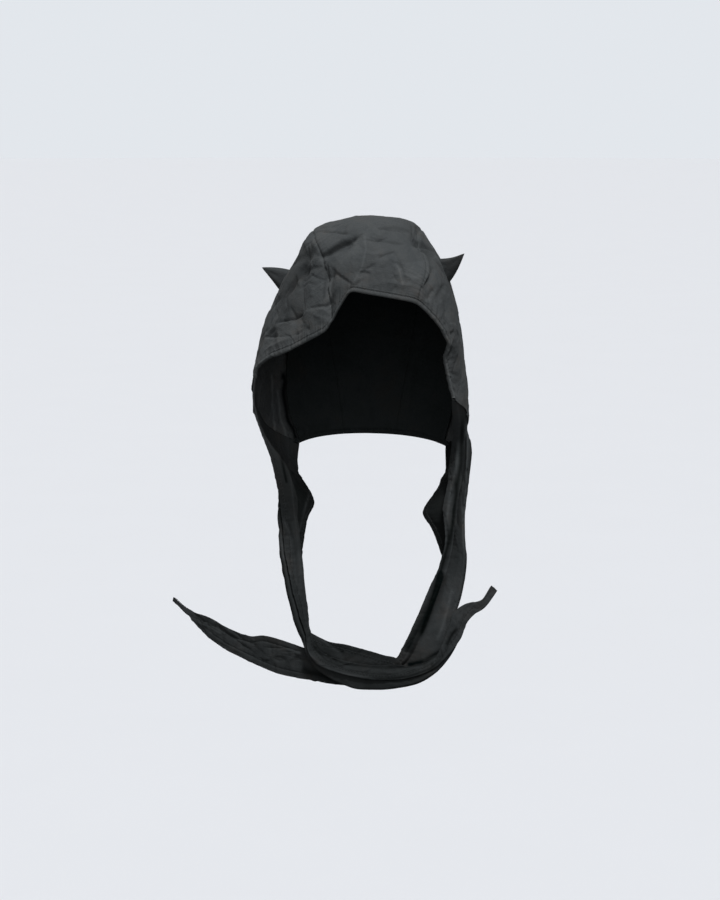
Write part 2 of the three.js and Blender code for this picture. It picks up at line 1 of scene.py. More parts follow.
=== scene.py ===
import math

import bpy
import numpy as np
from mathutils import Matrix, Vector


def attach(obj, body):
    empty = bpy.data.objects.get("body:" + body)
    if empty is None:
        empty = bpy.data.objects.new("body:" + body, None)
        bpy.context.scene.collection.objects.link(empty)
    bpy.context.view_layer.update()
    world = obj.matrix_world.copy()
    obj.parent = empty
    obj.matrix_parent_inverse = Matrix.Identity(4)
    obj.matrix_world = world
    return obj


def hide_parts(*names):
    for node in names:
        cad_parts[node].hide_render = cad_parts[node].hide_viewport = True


# Looks of a hooded scarf: a lined nylon hood with two padded horns and two long folded scarf tails.
# Sizes are in millimetres in the row's frame: +Z up, the front faces -Y, the wearer's right is at -X.


def table(columns, *rows):
    """Rows with named columns. A row may leave out its last ones."""
    return [dict(zip(columns.split(), row)) for row in rows]


METRE = 0.001

# Hood
HOOD_WIDTH = 236
HOOD_HEIGHT = 256
BRIM_REACH = 108
BACK_REACH = 104
EDGE_BLEND = 0.34
HEM_WIDTH = 6
HORN_LENGTH = 35
HORN_BASE = 29
HORN_PADDING = 13

# Scarf
SCARF_DROP = 258
LEFT_TAIL_SPREAD = 88
RIGHT_TAIL_SPREAD = 34
LAYER_PITCH = 4.6
LAYER_LIFT = 1.6  # of the front layer above the solid's

# Cloth
LINING_THICKNESS = 0.8
SCARF_THICKNESS = 1.2
SHELL_TOP = 2.6
LINING_TOP = 0.6
LINING_RISE = 1.2
SCARF_TUCK = 3
SCARF_SINK = 2.1
SURFACE_STEP = 0.002

# Photograph's view
VIEW_AZIMUTH = 8
VIEW_ELEVATION = 8
VIEW_DISTANCE = 3000
VIEW_CENTRE = (0, 0, -256.5)
MM_PER_PIXEL = 1.1
PHOTO_WIDTH = 720
PHOTO_HEIGHT = 900
SENSOR_WIDTH = 36

PROFILE = table("at reach fall lean",
    (0, -1, 0.29, 0.02),
    (0.06, -0.965, 0.175, 0.03),
    (0.12, -0.875, 0.09, 0.04),
    (0.19, -0.7, 0.03, 0.05),
    (0.28, -0.4, 0.003, 0.05),
    (0.38, 0, 0.006, 0.05),
    (0.48, 0.38, 0.03, 0.05),
    (0.57, 0.7, 0.1, 0.04),
    (0.66, 0.91, 0.235, 0.02),
    (0.76, 1, 0.42, 0),
    (0.88, 0.99, 0.68, 0),
    (1, 0.93, 0.98, 0))

SIDE_EDGE = table("at out reach fall lean wrap left right",
    (0, 0.91, -0.57, 0.7, 0, 1, 2, 2.4),
    (0.25, 0.965, -0.28, 0.79, 0.02, 1.03, 1.88, 2.35),
    (0.5, 0.965, 0, 0.87, 0.025, 1.03, 1.85, 2.25),
    (0.75, 0.9, 0.27, 0.945, 0.03, 0.9, 1.95, 2.1),
    (1, 0.71, 0.48, 1.008, 0.05, 0.67, 2.2, 2.2))

FACE_EDGE = table("across out reach fall",
    (-1, -0.905, -0.574, 0.662),
    (-0.874, -0.86, -0.61, 0.62),
    (-0.81, -0.787, -0.667, 0.593),
    (-0.71, -0.634, -0.76, 0.567),
    (-0.47, -0.388, -0.87, 0.506),
    (-0.28, -0.243, -0.926, 0.47),
    (-0.18, -0.168, -0.944, 0.443),
    (-0.08, -0.075, -0.97, 0.37),
    (0, 0.01, -0.99, 0.308),
    (0.045, 0.06, -1, 0.288),
    (0.12, 0.174, -1, 0.295),
    (0.33, 0.482, -0.954, 0.32),
    (0.42, 0.612, -0.907, 0.337),
    (0.49, 0.697, -0.861, 0.371),
    (0.57, 0.781, -0.806, 0.418),
    (0.655, 0.847, -0.741, 0.47),
    (0.72, 0.889, -0.694, 0.514),
    (0.795, 0.865, -0.639, 0.57),
    (0.86, 0.853, -0.602, 0.61),
    (0.94, 0.87, -0.574, 0.666),
    (1, 0.912, -0.537, 0.743))

SEAMS = table("at left right",
    (0, -0.14, 0.43),
    (0.12, -0.2, 0.44),
    (0.3, -0.26, 0.32),
    (0.55, -0.3, 0.3),
    (0.8, -0.35, 0.33),
    (1, -0.32, 0.27))

LINING_EDGE = table("at side",
    (0, 0.7),
    (0.3, 0.66),
    (0.6, 0.61),
    (0.7, 0.7),
    (0.8, 0.8),
    (1, 0.93))

FOLDS = table("name at across toAt toAcross width depth",
    ("wedge", 0.14, 0.02, 0.1, -0.17, 1, 0.3),
    ("wedge roof", 0.17, 0.02, 0.15, -0.2, 1.1, -0.3),
    ("left brow", 0.1, -0.15, 0.02, -0.15, 0.8, 0.45),
    ("left crown", 0.24, -0.24, 0.42, -0.25, 3.6, -1.4),
    ("right crown", 0.26, 0.23, 0.42, 0.26, 3.2, -1),
    ("left temple", 0.2, -0.36, 0.08, -0.5, 1.4, 0.5),
    ("left cheek", 0.05, -0.82, 0.12, -0.72, 1.6, 0.5),
    ("left pleat", 0.2, -0.27, 0.3, -0.45, 1, 0.5),
    ("right pleat", 0.2, 0.36, 0.3, 0.52, 1, 0.6),
    ("right brow", 0.03, 0.42, 0.14, 0.44, 1.4, -0.35),
    ("right cheek", 0.12, 0.6, 0.03, 0.8, 1.5, 0.4),
    ("right ear", 0.38, 0.62, 0.42, 0.8, 6, 0.9),
    ("nape", 0.97, 0.1, 0.9, -0.1, 1.6, 0.4))

HORNS = table("name at across forward rise bend",
    ("horn_left", 0.43, -0.515, 0.4, 0.6, 1),
    ("horn_right", 0.41, 0.495, 0.66, 0.85, -2))

LEFT_SCARF = table("outer inner folds stack free",
    ([-0.905, -0.574, 0.662], [-0.664, 0.481, 1], [0, 0.33, 0.67, 1], 0, 0),
    ([-0.911, -0.602, 0.762], [-0.647, 0.423, 1.04], [0, 0.33, 0.67, 1], 0.2, 0.35),
    ([-0.858, -0.648, 0.865], [-0.614, 0.327, 1.078], [0, 0.36, 0.6, 1], 0.6, 0.7),
    ([-0.739, -0.704, 1.001], [-0.515, 0.173, 1.121], [0, 0.4, 0.38, 1]),
    ([-0.65, -0.778, 1.16], [-0.372, -0.037, 1.219], [0, 0.42, 0.12, 1]),
    ([-0.615, -0.833, 1.262], [-0.405, -0.278, 1.29], [0, 0.5, 0.06, 1]),
    ([-0.555, -0.917, 1.45], [-0.415, -0.574, 1.47], [0, 0.75, 0.04, 1]),
    ([-0.422, -1, 1.64], [-0.365, -0.796, 1.652], [0, 0.8, 0.05, 1]),
    ([-0.372, -1.028, 1.722], [-0.317, -0.898, 1.702], [0, 0.6, 0, 1]),
    ([-0.342, -1.046, 1.791], [-0.179, -0.963, 1.742], [0, 0.45, -0.05, 1]),
    ([-0.23, -1.065, 1.848], [-0.009, -1, 1.757], [0, 0.42, -0.1, 1]),
    ([0.139, -1.079, 1.892], [0.333, -1.028, 1.796], [0, 0.55, -0.38, 1]),
    ([0.34, -1.083, 1.897], [0.471, -1.037, 1.811], [0, 0.72, -0.42, 1]),
    ([0.523, -1.083, 1.89], [0.564, -1.046, 1.842], [0, 1, -0.6, 0.8]),
    ([0.703, -1.074, 1.867], [0.717, -1.037, 1.824], [0, 1, -0.55, 0.75]),
    ([0.846, -1.046, 1.83], [0.833, -1.019, 1.79], [0, 1, -0.3, 0.75]),
    ([1.125, -0.963, 1.729], [0.934, -0.944, 1.669], [0, 1, 0.1, 0.75]),
    ([1.322, -0.898, 1.663], [0.965, -0.898, 1.622], [0, 1, 0.1, 0.8]),
    ([1.55, -0.824, 1.63], [1.232, -0.824, 1.589], [0, 1, 0.1, 0.85]),
    ([1.897, -0.722, 1.599], [1.706, -0.722, 1.579], [0, 1, 0.1, 0.85]),
    ([2.178, -0.611, 1.548], [1.987, -0.611, 1.527], [0, 1, 0.1, 0.85]))

RIGHT_SCARF = table("outer inner folds stack free",
    ([0.995, -0.046, 0.878], [0.76, 0.481, 1.018], [0.5, 0.2, 0, 1], 0, 0),
    ([0.985, -0.093, 0.944], [0.758, 0.404, 1.07], [0.55, 0.25, 0, 1.25], 0.9, 0.85),
    ([0.985, -0.204, 1.045], [0.729, 0.269, 1.115], [0.55, 0.25, 0, 1.25], 1, 1),
    ([0.995, -0.333, 1.135], [0.704, 0.096, 1.156], [0.5, 0.26, 0, 1.15]),
    ([0.985, -0.426, 1.213], [0.555, -0.074, 1.25], [0.37, 0.27, 0, 1]),
    ([0.99, -0.509, 1.301], [0.666, -0.241, 1.324], [0.44, 0.33, 0, 1]),
    ([1.02, -0.574, 1.381], [0.751, -0.389, 1.397], [0.66, 0.5, 0, 1]),
    ([1.04, -0.63, 1.44], [0.787, -0.5, 1.474], [0.98, 0.75, 0, 0.85]),
    ([1.02, -0.704, 1.532], [0.718, -0.63, 1.541], [1, 0.75, 0, 0.6]),
    ([0.971, -0.769, 1.607], [0.657, -0.741, 1.614], [1, 0.75, 0, 0.5]),
    ([0.847, -0.889, 1.781], [0.517, -0.88, 1.765], [1, 0.72, 0, 0.45]),
    ([0.705, -0.917, 1.873], [0.448, -0.917, 1.818], [1, 0.72, 0.05, 0.4]),
    ([0.488, -0.935, 1.926], [0.341, -0.935, 1.834], [1, 0.7, 0.15, 0.25]),
    ([0.213, -0.944, 1.948], [0.158, -0.944, 1.84], [1, 0.68, 0.25, 0.1], 0.6, 1),
    ([-0.063, -0.944, 1.937], [-0.081, -0.944, 1.818], [1, 0.67, 0.33, 0], 0.2, 1),
    ([-0.34, -0.944, 1.92], [-0.357, -0.944, 1.788], [1, 0.67, 0.33, 0], 0, 1),
    ([-0.62, -0.926, 1.9], [-0.6, -0.926, 1.755], [1, 0.67, 0.33, 0], 0, 1),
    ([-0.793, -0.889, 1.876], [-0.773, -0.889, 1.741], [1, 0.67, 0.33, 0], 0, 1),
    ([-0.959, -0.843, 1.848], [-0.911, -0.843, 1.749], [1, 0.67, 0.33, 0], 0, 1),
    ([-1.249, -0.769, 1.807], [-1.172, -0.769, 1.724], [1, 0.67, 0.33, 0], 0, 1),
    ([-1.512, -0.667, 1.754], [-1.447, -0.667, 1.688], [1, 0.67, 0.33, 0], 0, 1),
    ([-1.703, -0.556, 1.7], [-1.651, -0.556, 1.678], [1, 0.67, 0.33, 0], 0, 1),
    ([-1.837, -0.472, 1.669], [-1.812, -0.472, 1.656], [1, 0.67, 0.33, 0], 0, 1),
    ([-1.955, -0.407, 1.645], [-1.942, -0.407, 1.628], [1, 0.67, 0.33, 0], 0, 1))

# Where the layer of a folded section changes, in shares of the cloth's width
FIRST_FOLD = 1 / 3
SECOND_FOLD = 2 / 3
FOLD_TURN = 0.04

# Creases of the hood's shell. kind: soft or sharp on both sides, or lapped over on one side. width and depth
# in mm, depth above 0 for a valley and below 0 for a ridge. path: pixels of the photograph that they pass
# through. shade: width in pixels of their darker line. dark: its strength, below 0 for a lighter one.
# shade is the width of painted shade along a crease, dark its strength, below 0 painted highlight. Rows of
# depth 0 shape nothing and are only painted shade or highlight.
HOOD_CREASES = table("name kind width depth path shade dark",
    ("wedge", "lapped", 10, 4.6, [(364, 235), (350, 241), (336, 249), (326, 255), (315, 260)]),
    ("wedge end", "soft", 2, 0.4, [(364, 235), (355, 239), (346, 244)], 0.8, 0.3),
    ("wedge middle", "soft", 2, 0.4, [(358, 238), (344, 245), (330, 254)], 1.2, 0.25),
    ("wedge foot", "soft", 2, 0.4, [(345, 247), (332, 254), (315, 260)], 1.4, 0.25),
    ("wedge lip", "soft", 4, -1.6, [(366, 231), (350, 237), (334, 245), (318, 254)]),
    ("brow line", "sharp", 5, 1.2, [(364, 236), (366, 250), (362, 267), (353, 284)], 0.9, -0.35),
    ("left facet", "lapped", 9, 2.8, [(325, 300), (325, 282), (326, 260)], 1.6, 0.45),
    ("facet foot", "lapped", 5, 1.8, [(352, 286), (346, 281), (334, 271), (327, 263)], 1, -0.35),
    ("left streak", "sharp", 4.5, 3.5, [(313, 246), (308, 262), (302, 282)], 2.2, 0.4),
    ("left slope", "sharp", 5, 3.8, [(306, 262), (298, 278), (285, 300)], 2.4, 0.35),
    ("left slope ridge", "sharp", 4, -3.5, [(312, 240), (302, 254), (292, 272), (280, 298)]),
    ("left rim", "sharp", 2.4, -2.6, [(336, 223), (318, 230), (312, 241), (299, 253)], 0.9, -0.5),
    ("left rim groove", "sharp", 2.2, 2.9, [(340, 227), (322, 234), (314, 246), (302, 257)]),
    ("cheek fold", "lapped", 5, 3, [(259, 334), (268, 336), (280, 338), (292, 335)], 2.2, 0.25),
    ("cheek ridge", "sharp", 4, -2.9, [(262, 350), (276, 346), (296, 334)]),
    ("temple", "lapped", 4, 3.8, [(276, 322), (291, 321), (305, 312)], 1.8, 0.4),
    ("temple tuck", "sharp", 3, 2.6, [(288, 306), (292, 316), (290, 326)]),
    ("left hem fold", "sharp", 4, -2.6, [(305, 330), (312, 318), (326, 306)]),
    ("upper pleat", "lapped", 3, 3.2, [(410, 225), (424, 237), (438, 254)], 1.3, 0.6),
    ("pleat ridge", "sharp", 1.8, -2.6, [(413, 229), (424, 241), (433, 251)], 0.9, -0.6),
    ("lower pleat", "lapped", 4, 2.8, [(411, 240), (421, 245), (433, 253)], 1.3, 0.45),
    ("crown tuck", "sharp", 2, 2.6, [(412, 230), (413, 236), (412, 243)], 1, 0.5),
    ("ear crease", "lapped", 6, 4.2, [(421, 246), (429, 257), (431, 272), (426, 285), (419, 294)], 1.6, 0.3),
    ("ear ridge", "sharp", 4, -3.2, [(432, 256), (441, 265), (450, 276)], 1, -0.4),
    ("ear fold", "sharp", 4, 2.9, [(444, 282), (440, 292), (434, 304)], 1.4, 0.35),
    ("right brow", "sharp", 3, 2.6, [(436, 286), (431, 294), (427, 302)]),
    ("brow seam", "sharp", 2.2, -2.4, [(395, 263), (399, 270), (401, 279), (403, 286)], 0.9, -0.5),
    ("brow seam groove", "sharp", 3, 1.8, [(399, 262), (403, 270), (406, 284)], 1, 0.25),
    ("brow pucker", "sharp", 2.6, 2.4, [(378, 259), (385, 255), (395, 252)], 1, 0.35),
    ("brow knot", "sharp", 2.2, -2.1, [(389, 254), (394, 258), (400, 262)]),
    ("middle brow", "sharp", 2.8, 2.6, [(357, 275), (366, 268), (377, 263)], 1.1, 0.3),
    ("low brow", "sharp", 2.4, 2.1, [(356, 280), (364, 276), (372, 277)]),
    ("right cheek", "sharp", 3.5, 3.2, [(446, 298), (449, 320), (454, 345)]),
    ("crown left", "lapped", 3, 2.9, [(322, 238), (338, 234), (352, 237)], 1, 0.3),
    ("crown middle", "sharp", 3, 2.2, [(362, 232), (370, 226), (382, 222)]),
    ("crown right", "lapped", 3.4, 2.9, [(376, 230), (392, 231), (408, 236)], 1, 0.3),
    ("crown low", "sharp", 3.4, 2.1, [(368, 238), (385, 241), (404, 246)], 1, 0.25),
    ("facet sheen", "soft", 1, 0, [(359, 245), (350, 254), (338, 262)], 8, -0.4),
    ("left shade", "soft", 1, 0, [(303, 256), (292, 285), (287, 318)], 13, 0.4),
    ("right shade", "soft", 1, 0, [(451, 345), (455, 385)], 5, 0.3),
    ("brow sheen", "soft", 1, 0, [(412, 262), (414, 280)], 12, -0.25),
    ("side gap", "soft", 1, 0, [(285, 370), (286, 398), (290, 420), (298, 442)], 2.8, 1.3),
    ("side strip", "soft", 1, 0, [(274, 372), (275, 404), (276, 440)], 1.1, -0.9),
    ("side edge", "soft", 1, 0, [(280, 388), (282, 416), (288, 440)], 1, -0.8))

# Creases of the lining at the back of the hood, where the camera looks in
LINING_CREASES = table("name kind width depth path",
    ("left seam", "soft", 3, 1.2, [(318, 340), (324, 358), (330, 376), (332, 420)]),
    ("right seam", "soft", 3, -1.2, [(427, 320), (418, 346), (410, 371), (405, 424)]),
    ("upper sag", "soft", 4, 1.2, [(372, 346), (384, 338), (398, 338), (410, 348)]),
    ("nape fold", "lapped", 3, 1.6, [(383, 418), (392, 424), (404, 430)]),
    ("nape tuck", "soft", 3.5, 1.2, [(340, 418), (352, 412), (366, 414)]),
    ("left drape", "soft", 7, 1.1, [(345, 350), (352, 380), (350, 410)]),
    ("right drape", "soft", 7, -1, [(385, 360), (378, 390), (384, 412)]),
    ("corner", "soft", 2.5, 1.2, [(418, 428), (424, 434), (428, 438)]))

# Creases of the scarf's front layers, with the hood's columns: painted shade along those with a shade,
# painted highlight where dark is below 0, and rows of depth 0 only painted
LEFT_CREASES = table("name kind width depth path shade dark",
    ("shoulder", "soft", 3.5, 1.2, [(262, 400), (272, 440), (280, 480)]),
    ("inner fold", "lapped", 3, 1.4, [(275, 360), (275, 400), (276, 436)]),
    ("dart", "lapped", 2.4, 1.6, [(281, 455), (284, 470), (287, 484)], 1.3, 0.8),
    ("fold ridge", "sharp", 2.4, -1.3, [(286, 425), (289, 460), (293, 500), (297, 535), (301, 575)], 0.9,
     -0.35),
    ("strap ridge", "sharp", 2.6, -2.2, [(283, 517), (289, 532), (291, 550), (291, 575)], 1, -0.7),
    ("strap groove", "sharp", 2.6, 1.6, [(288, 520), (294, 540), (296, 560), (298, 585)], 1.2, 0.35),
    ("elbow", "sharp", 1.8, -1.8, [(311, 488), (304, 513), (299, 533)], 0.9, -0.8),
    ("lower strap", "sharp", 3, 1.4, [(292, 575), (297, 600), (306, 632)], 1.2, 0.3),
    ("band valley", "soft", 3, 1.2, [(306, 628), (320, 652), (345, 664), (385, 669), (425, 664), (444,
     646)], 1.2, 0.35),
    ("band line", "sharp", 2.4, 1.4, [(450, 645), (440, 660), (430, 669), (410, 676), (388, 679), (360,
     678)], 1.2, 0.5),
    ("band start", "sharp", 3, 1.6, [(311, 640), (316, 650), (326, 660), (345, 668)], 1.2, 0.5),
    ("band ridge", "sharp", 2.2, -1.6, [(303, 640), (310, 655), (325, 668), (345, 674), (380, 680)], 1.1,
     -0.5),
    ("band tuck", "sharp", 3, 1.6, [(412, 662), (425, 658), (437, 652)], 1.8, 0.8),
    ("tail fold", "lapped", 3, 1.8, [(458, 628), (452, 634), (446, 646)], 2.2),
    ("outer edge", "soft", 1, 0, [(276, 496), (279, 520), (281, 540), (285, 562)], 1.2, -1.1),
    ("band sheen", "soft", 1, 0, [(328, 656), (350, 660), (384, 661)], 3, -0.3),
    ("strip ridge", "soft", 1, 0, [(312, 632), (326, 643), (342, 655)], 1, -0.6),
    ("strip groove", "soft", 1, 0, [(315, 631), (330, 643), (345, 653)], 1, 0.6),
    ("tail crease", "soft", 2.6, 1.2, [(458, 632), (472, 616), (486, 602)]),
    ("band foot", "soft", 1, 0, [(360, 688), (395, 687), (425, 676), (445, 658)], 5, 0.3))
RIGHT_CREASES = table("name kind width depth path shade dark",
    ("valley", "soft", 6, 3.5, [(461, 412), (462, 440), (461, 465), (457, 485), (455, 505), (453, 522),
     (449, 542), (442, 568), (437, 588), (430, 612), (418, 645)], 2.6, 1.3),
    ("wide valley", "soft", 8, 4, [(443, 570), (440, 580), (432, 600), (423, 620), (412, 640), (405, 654)],
     6, 1.2),
    ("strip ridge", "soft", 1, 0, [(455, 394), (459, 416), (459, 440), (457, 466), (452, 488), (449, 504),
     (446, 522), (446, 545), (441, 562)], 1.1, -0.7),
    ("inner valley", "soft", 1, 0, [(451, 410), (449, 435), (448, 470)], 2.2, 1.1),
    ("outer edge", "soft", 1, 0, [(465, 425), (466, 450), (465, 478), (463, 500), (463, 530), (464, 556)],
     1.5, -0.6),
    ("panel fold", "soft", 1, 0, [(453, 588), (449, 604), (444, 622), (437, 642)], 1.6, -0.8),
    ("panel edge", "soft", 1, 0, [(458, 598), (454, 615), (451, 633), (446, 645), (437, 655), (420, 663)],
     1, -0.6),
    ("strip ridge low", "soft", 1, 0, [(312, 632), (326, 643), (342, 655)], 1, -0.7),
    ("strip groove low", "soft", 1, 0, [(316, 631), (331, 643), (346, 653)], 1, 0.7),
    ("under band", "soft", 1, 0, [(300, 668), (325, 676), (350, 682)], 4, 0.8),
    ("outer crease", "soft", 3, 1, [(462, 540), (460, 575), (450, 600)]),
    ("band tuck low", "soft", 1, 0, [(406, 665), (425, 661), (442, 650)], 2.2, 1.2),
    ("elbow crease", "soft", 2.6, 1, [(424, 508), (434, 528), (442, 556)]),
    ("tail crease", "soft", 2.6, -1.2, [(302, 652), (292, 658), (283, 664)]),
    ("tail tuck", "lapped", 2.4, 1.3, [(268, 644), (270, 654), (267, 664)]),
    ("first pucker", "soft", 2.4, 1, [(205, 622), (222, 632), (240, 646)]),
    ("second pucker", "soft", 2.4, 1, [(228, 630), (244, 642), (262, 650)]),
    ("third pucker", "soft", 2.2, 0.9, [(190, 612), (204, 624), (214, 636)]))

# Small random creases. count, then ranges in mm. along: how far they keep to the cloth's length, 0 to 1.
HOOD_FACETS = dict(seed=5, count=150, length=(36, 110), width=(7, 18), depth=(0.8, 2), along=0.2)
HOOD_CALM = table("pixel radius",
    ((347, 258), 15),
    ((338, 247), 9),
    ((413, 266), 11))
HOOD_CRUMPLE = dict(seed=11, count=900, length=(8, 44), width=(1.1, 3), depth=(0.4, 1.4), along=0.3)
LINING_CRUMPLE = dict(seed=23, count=170, length=(14, 60), width=(2, 5.5), depth=(0.25, 0.8), along=0.5)
LEFT_CRUMPLE = dict(seed=37, count=230, length=(14, 60), width=(1.5, 3.2), depth=(0.25, 0.75), along=0.75)
RIGHT_CRUMPLE = dict(seed=41, count=230, length=(14, 60), width=(1.5, 3.2), depth=(0.25, 0.75), along=0.75)

# Puckers beside a stitched line: height, reach across the cloth and length of a wave, in mm
PUCKER_HEIGHT = 0.6
PUCKER_REACH = 8
PUCKER_WAVES = (5.3, 7.9, 12.7)
PUCKER_PHASE = 3

# Stitched lines: distance from the edge, and length, pause and thickness of a stitch, in mm
STITCH_INSET = 5  # from an edge to its stitched line
SCARF_STITCH_INSET = 6.5
SCARF_STITCH_START = 0.06
STITCH_ROWS = 2
STITCH_LENGTH = 2.4
STITCH_PAUSE = 1
THREAD_RADIUS = 0.28

# Hood's and lining's meshes, in mm
PANEL_STEP = 1.2
LINING_STEP = 2.6
PANEL_LENGTH = 470
COARSE_STEPS = 150
HEM_STEPS = 380
HEM_OVERLAP = 0.8  # share of the hem's width at which the panels start
SEAM_SINK = 1.1
SEAM_ROLL = 1.3

# Shapes of creases. Shares are of a crease's length or width.
LAP_SHARE = 0.22
CREASE_TAPER = 0.3
CREASE_ROUNDING = 0.5
CREASE_REACH = 4
SOFT_POWER = 1.5
OUTWARD_SHARE = 0.6
# Painted shade: taper of a crease's shaded line, and the darkest and lightest amounts, below 0 painted
# highlight
SHADE_TAPER = 0.08
DARKEST = 1.3
LIGHTEST = -1.4
CRUMPLE_BEND = 0.12
CRUMPLE_KINDS = ["soft", "sharp", "sharp", "lapped"]
LEAST_FACING = 0.02
NEAR_PIXELS = 2

# Section of a hem: inward in mm from the edge, height in mm above the hood's surface, and shade: painted
# shade in the stitched groove and at the inner step, below 0 painted highlight on the rolled edge
HEM_SECTION = table("inward height shade",
    (6.0, 0.1, 0),
    (5.2, -0.5, 0),
    (3.0, -0.6, 0),
    (1.0, -0.4, 0),
    (0.1, 0.4, 0),
    (-0.1, 1.5, 0),
    (0.2, 2.6, -0.3),
    (1.0, 3.3, -0.4),
    (2.2, 3.6, -0.2),
    (3.4, 3.5, 0),
    (4.3, 3.1, 0.1),
    (4.8, 2.2, 0.9),
    (5.2, 2.2, 0.9),
    (5.7, 2.9, 0.1),
    (6.4, 2.9, 0),
    (6.8, 1.4, 0.3))

# Horns: meshes, bent creases round the cone, and gathers at the foot
HORN_SIDES = 72
HORN_RINGS = 46
HORN_SINK = 0.6
HORN_TAPER = 0.93
HORN_SWELL = 0.03
HORN_TWIST = 0.5
HORN_DENT_RUN = 1.1
HORN_DENT_START = 0.05
HORN_GATHER = dict(height=0.35, waves=9, twist=4, fade=7)
HORN_CREASES = table("angle depth width",
    (0.4, 0.9, 0.35),
    (1.9, 0.7, 0.3),
    (3.1, 0.8, 0.4),
    (4.2, 0.9, 0.3),
    (5.3, 0.7, 0.3))

# Scarf's meshes, and the groove that its stitches lie in
SCARF_LENGTH_STEPS = 420
SCARF_WIDTH_STEPS = 84
SCARF_SEAM_SHARE = 0.03
GROOVE_DEPTH = 0.5
GROOVE_WIDTH = 1.1

# Painted shade on the scarf, below 0 painted highlight: its amount on the front layers, on the hindmost one,
# and from which share of the width that one starts. at: 0 at the hood, 1 at the free end.
LEFT_PAINTED_SHADE = table("at front back edge",
    (0, -0.4, -0.3, 1.1),
    (0.06, -0.2, 0, 1),
    (0.12, 0.3, 0.7, 0.85),
    (0.16, 0.6, 1.1, 0.72),
    (0.22, 0.75, 1.1, 0.667),
    (0.29, 0.15, 1, 0.667),
    (0.35, -0.25, 1, 0.667),
    (0.42, -0.1, 0.7, 0.667),
    (0.5, 0.3, 0.7, 0.667),
    (0.72, 0.3, 0.6, 0.667),
    (0.82, 0, 0.2, 0.667),
    (1, 0, 0.1, 0.667))
RIGHT_PAINTED_SHADE = table("at front back edge",
    (0, -0.5, 0.4, 0.667),
    (0.12, -0.1, 0.8, 0.667),
    (0.4, -0.2, 1, 0.667),
    (0.5, 0.3, 0.6, 0.667),
    (0.6, 0, 0.2, 0.667),
    (1, 0, 0, 0.667))
PAINTED_SHADE_EDGE = 0.03

# Stitches. One stitch's rings: share of its length, size and height in thread radii
STITCH_RINGS = ((0, 0.25, -0.4), (0.18, 1, 0.5), (0.5, 1, 0.75), (0.82, 1, 0.5), (1, 0.25, -0.4))
STITCH_SIDES = 6
STITCH_START = 1.0
STITCH_AHEAD = 0.5
HEM_STITCH_END = 0.985
FACE_STITCH_HEIGHT = 2.7
NAPE_STITCH_HEIGHT = -0.6

# Cloths: three colours of the uneven dye, roughness, sheen, specular and the dark colour of their painted
# shade
CLOTHS = table("name dark light warm roughness sheen specular reverse",
    ("shell", (0.06, 0.066, 0.069), (0.074, 0.079, 0.081), (0.081, 0.078, 0.075), 0.66, 0.02, 0.06,
     (0.018, 0.02, 0.021)),
    ("lining", (0.018, 0.022, 0.022), (0.023, 0.027, 0.028), (0.026, 0.027, 0.026), 0.75, 0.01, 0.03),
    ("horn", (0.042, 0.046, 0.048), (0.05, 0.054, 0.056), (0.053, 0.051, 0.05), 0.62, 0.03, 0.08),
    ("scarf", (0.024, 0.027, 0.028), (0.031, 0.034, 0.035), (0.034, 0.033, 0.032), 0.7, 0.02, 0.04,
     (0.008, 0.0095, 0.0095)))
DYE = dict(scale=18, detail=9, roughness=0.74)
DYE_STOPS = (0.36, 0.52, 0.66)
GLOSS = dict(scale=60, detail=4)
GLOSS_VARIATION = 0.07
SHEEN_ROUGHNESS = 0.45
CRINKLE = dict(scale=110, detail=5, roughness=0.65)
CRINKLE_STRENGTH = 0.8
CRINKLE_DEPTH = 0.0016
THREADS_PER_METRE = 1250
BANDS_PER_SCALE = 10
THREAD_WOBBLE = 0.6
THREAD_DETAIL = 1
THREAD_STRENGTH = 0.35
THREAD_DEPTH = 0.00015

# Stage
FLOOR_HEIGHT = -1.25
FLOOR_RADIUS = 40
FLOOR_SIDES = 96
FLOOR_COLOUR = (0.812, 0.825, 0.859)
FLOOR_ROUGHNESS = 0.9
FLOOR_PATCHES = dict(scale=3, detail=2)
FLOOR_PATCH_SHADE = 0.985
BACKDROP = (0.766, 0.799, 0.84)
AMBIENT = (0.95, 0.98, 1)
AMBIENT_STRENGTH = 0.14
CLIP_START = 0.05
CLIP_END = 200
LIGHTS = table("name size energy colour place",
    ("key", 13, 2.3, (0.98, 0.99, 1), (0.75, -1.2, 2.7)),
    ("fill", 50, 0.75, (1, 1, 1), (0.3, -2, 1.1)),
    ("rear", 20, 0.6, (1, 1, 1), (-2, 1.3, 1.7)))

HALF_WIDTH = HOOD_WIDTH / 2
QUARTER_TURN = math.pi / 2
FOCAL_PIXELS = VIEW_DISTANCE / MM_PER_PIXEL


# Camera of the photograph
def camera_axes():
    azimuth, elevation = math.radians(VIEW_AZIMUTH), math.radians(VIEW_ELEVATION)
    back = np.array([math.sin(azimuth) * math.cos(elevation), -math.cos(azimuth) * math.cos(elevation),
                     math.sin(elevation)])
    right = np.array([math.cos(azimuth), math.sin(azimuth), 0])
    return back, right, np.cross(back, right)


def to_pixels(points):
    back, right, up = camera_axes()
    away = points - (np.array(VIEW_CENTRE) + VIEW_DISTANCE * back)
    depth = -(away @ back)
    return np.stack([PHOTO_WIDTH / 2 + FOCAL_PIXELS * (away @ right) / depth,
                     PHOTO_HEIGHT / 2 - FOCAL_PIXELS * (away @ up) / depth, depth], -1)


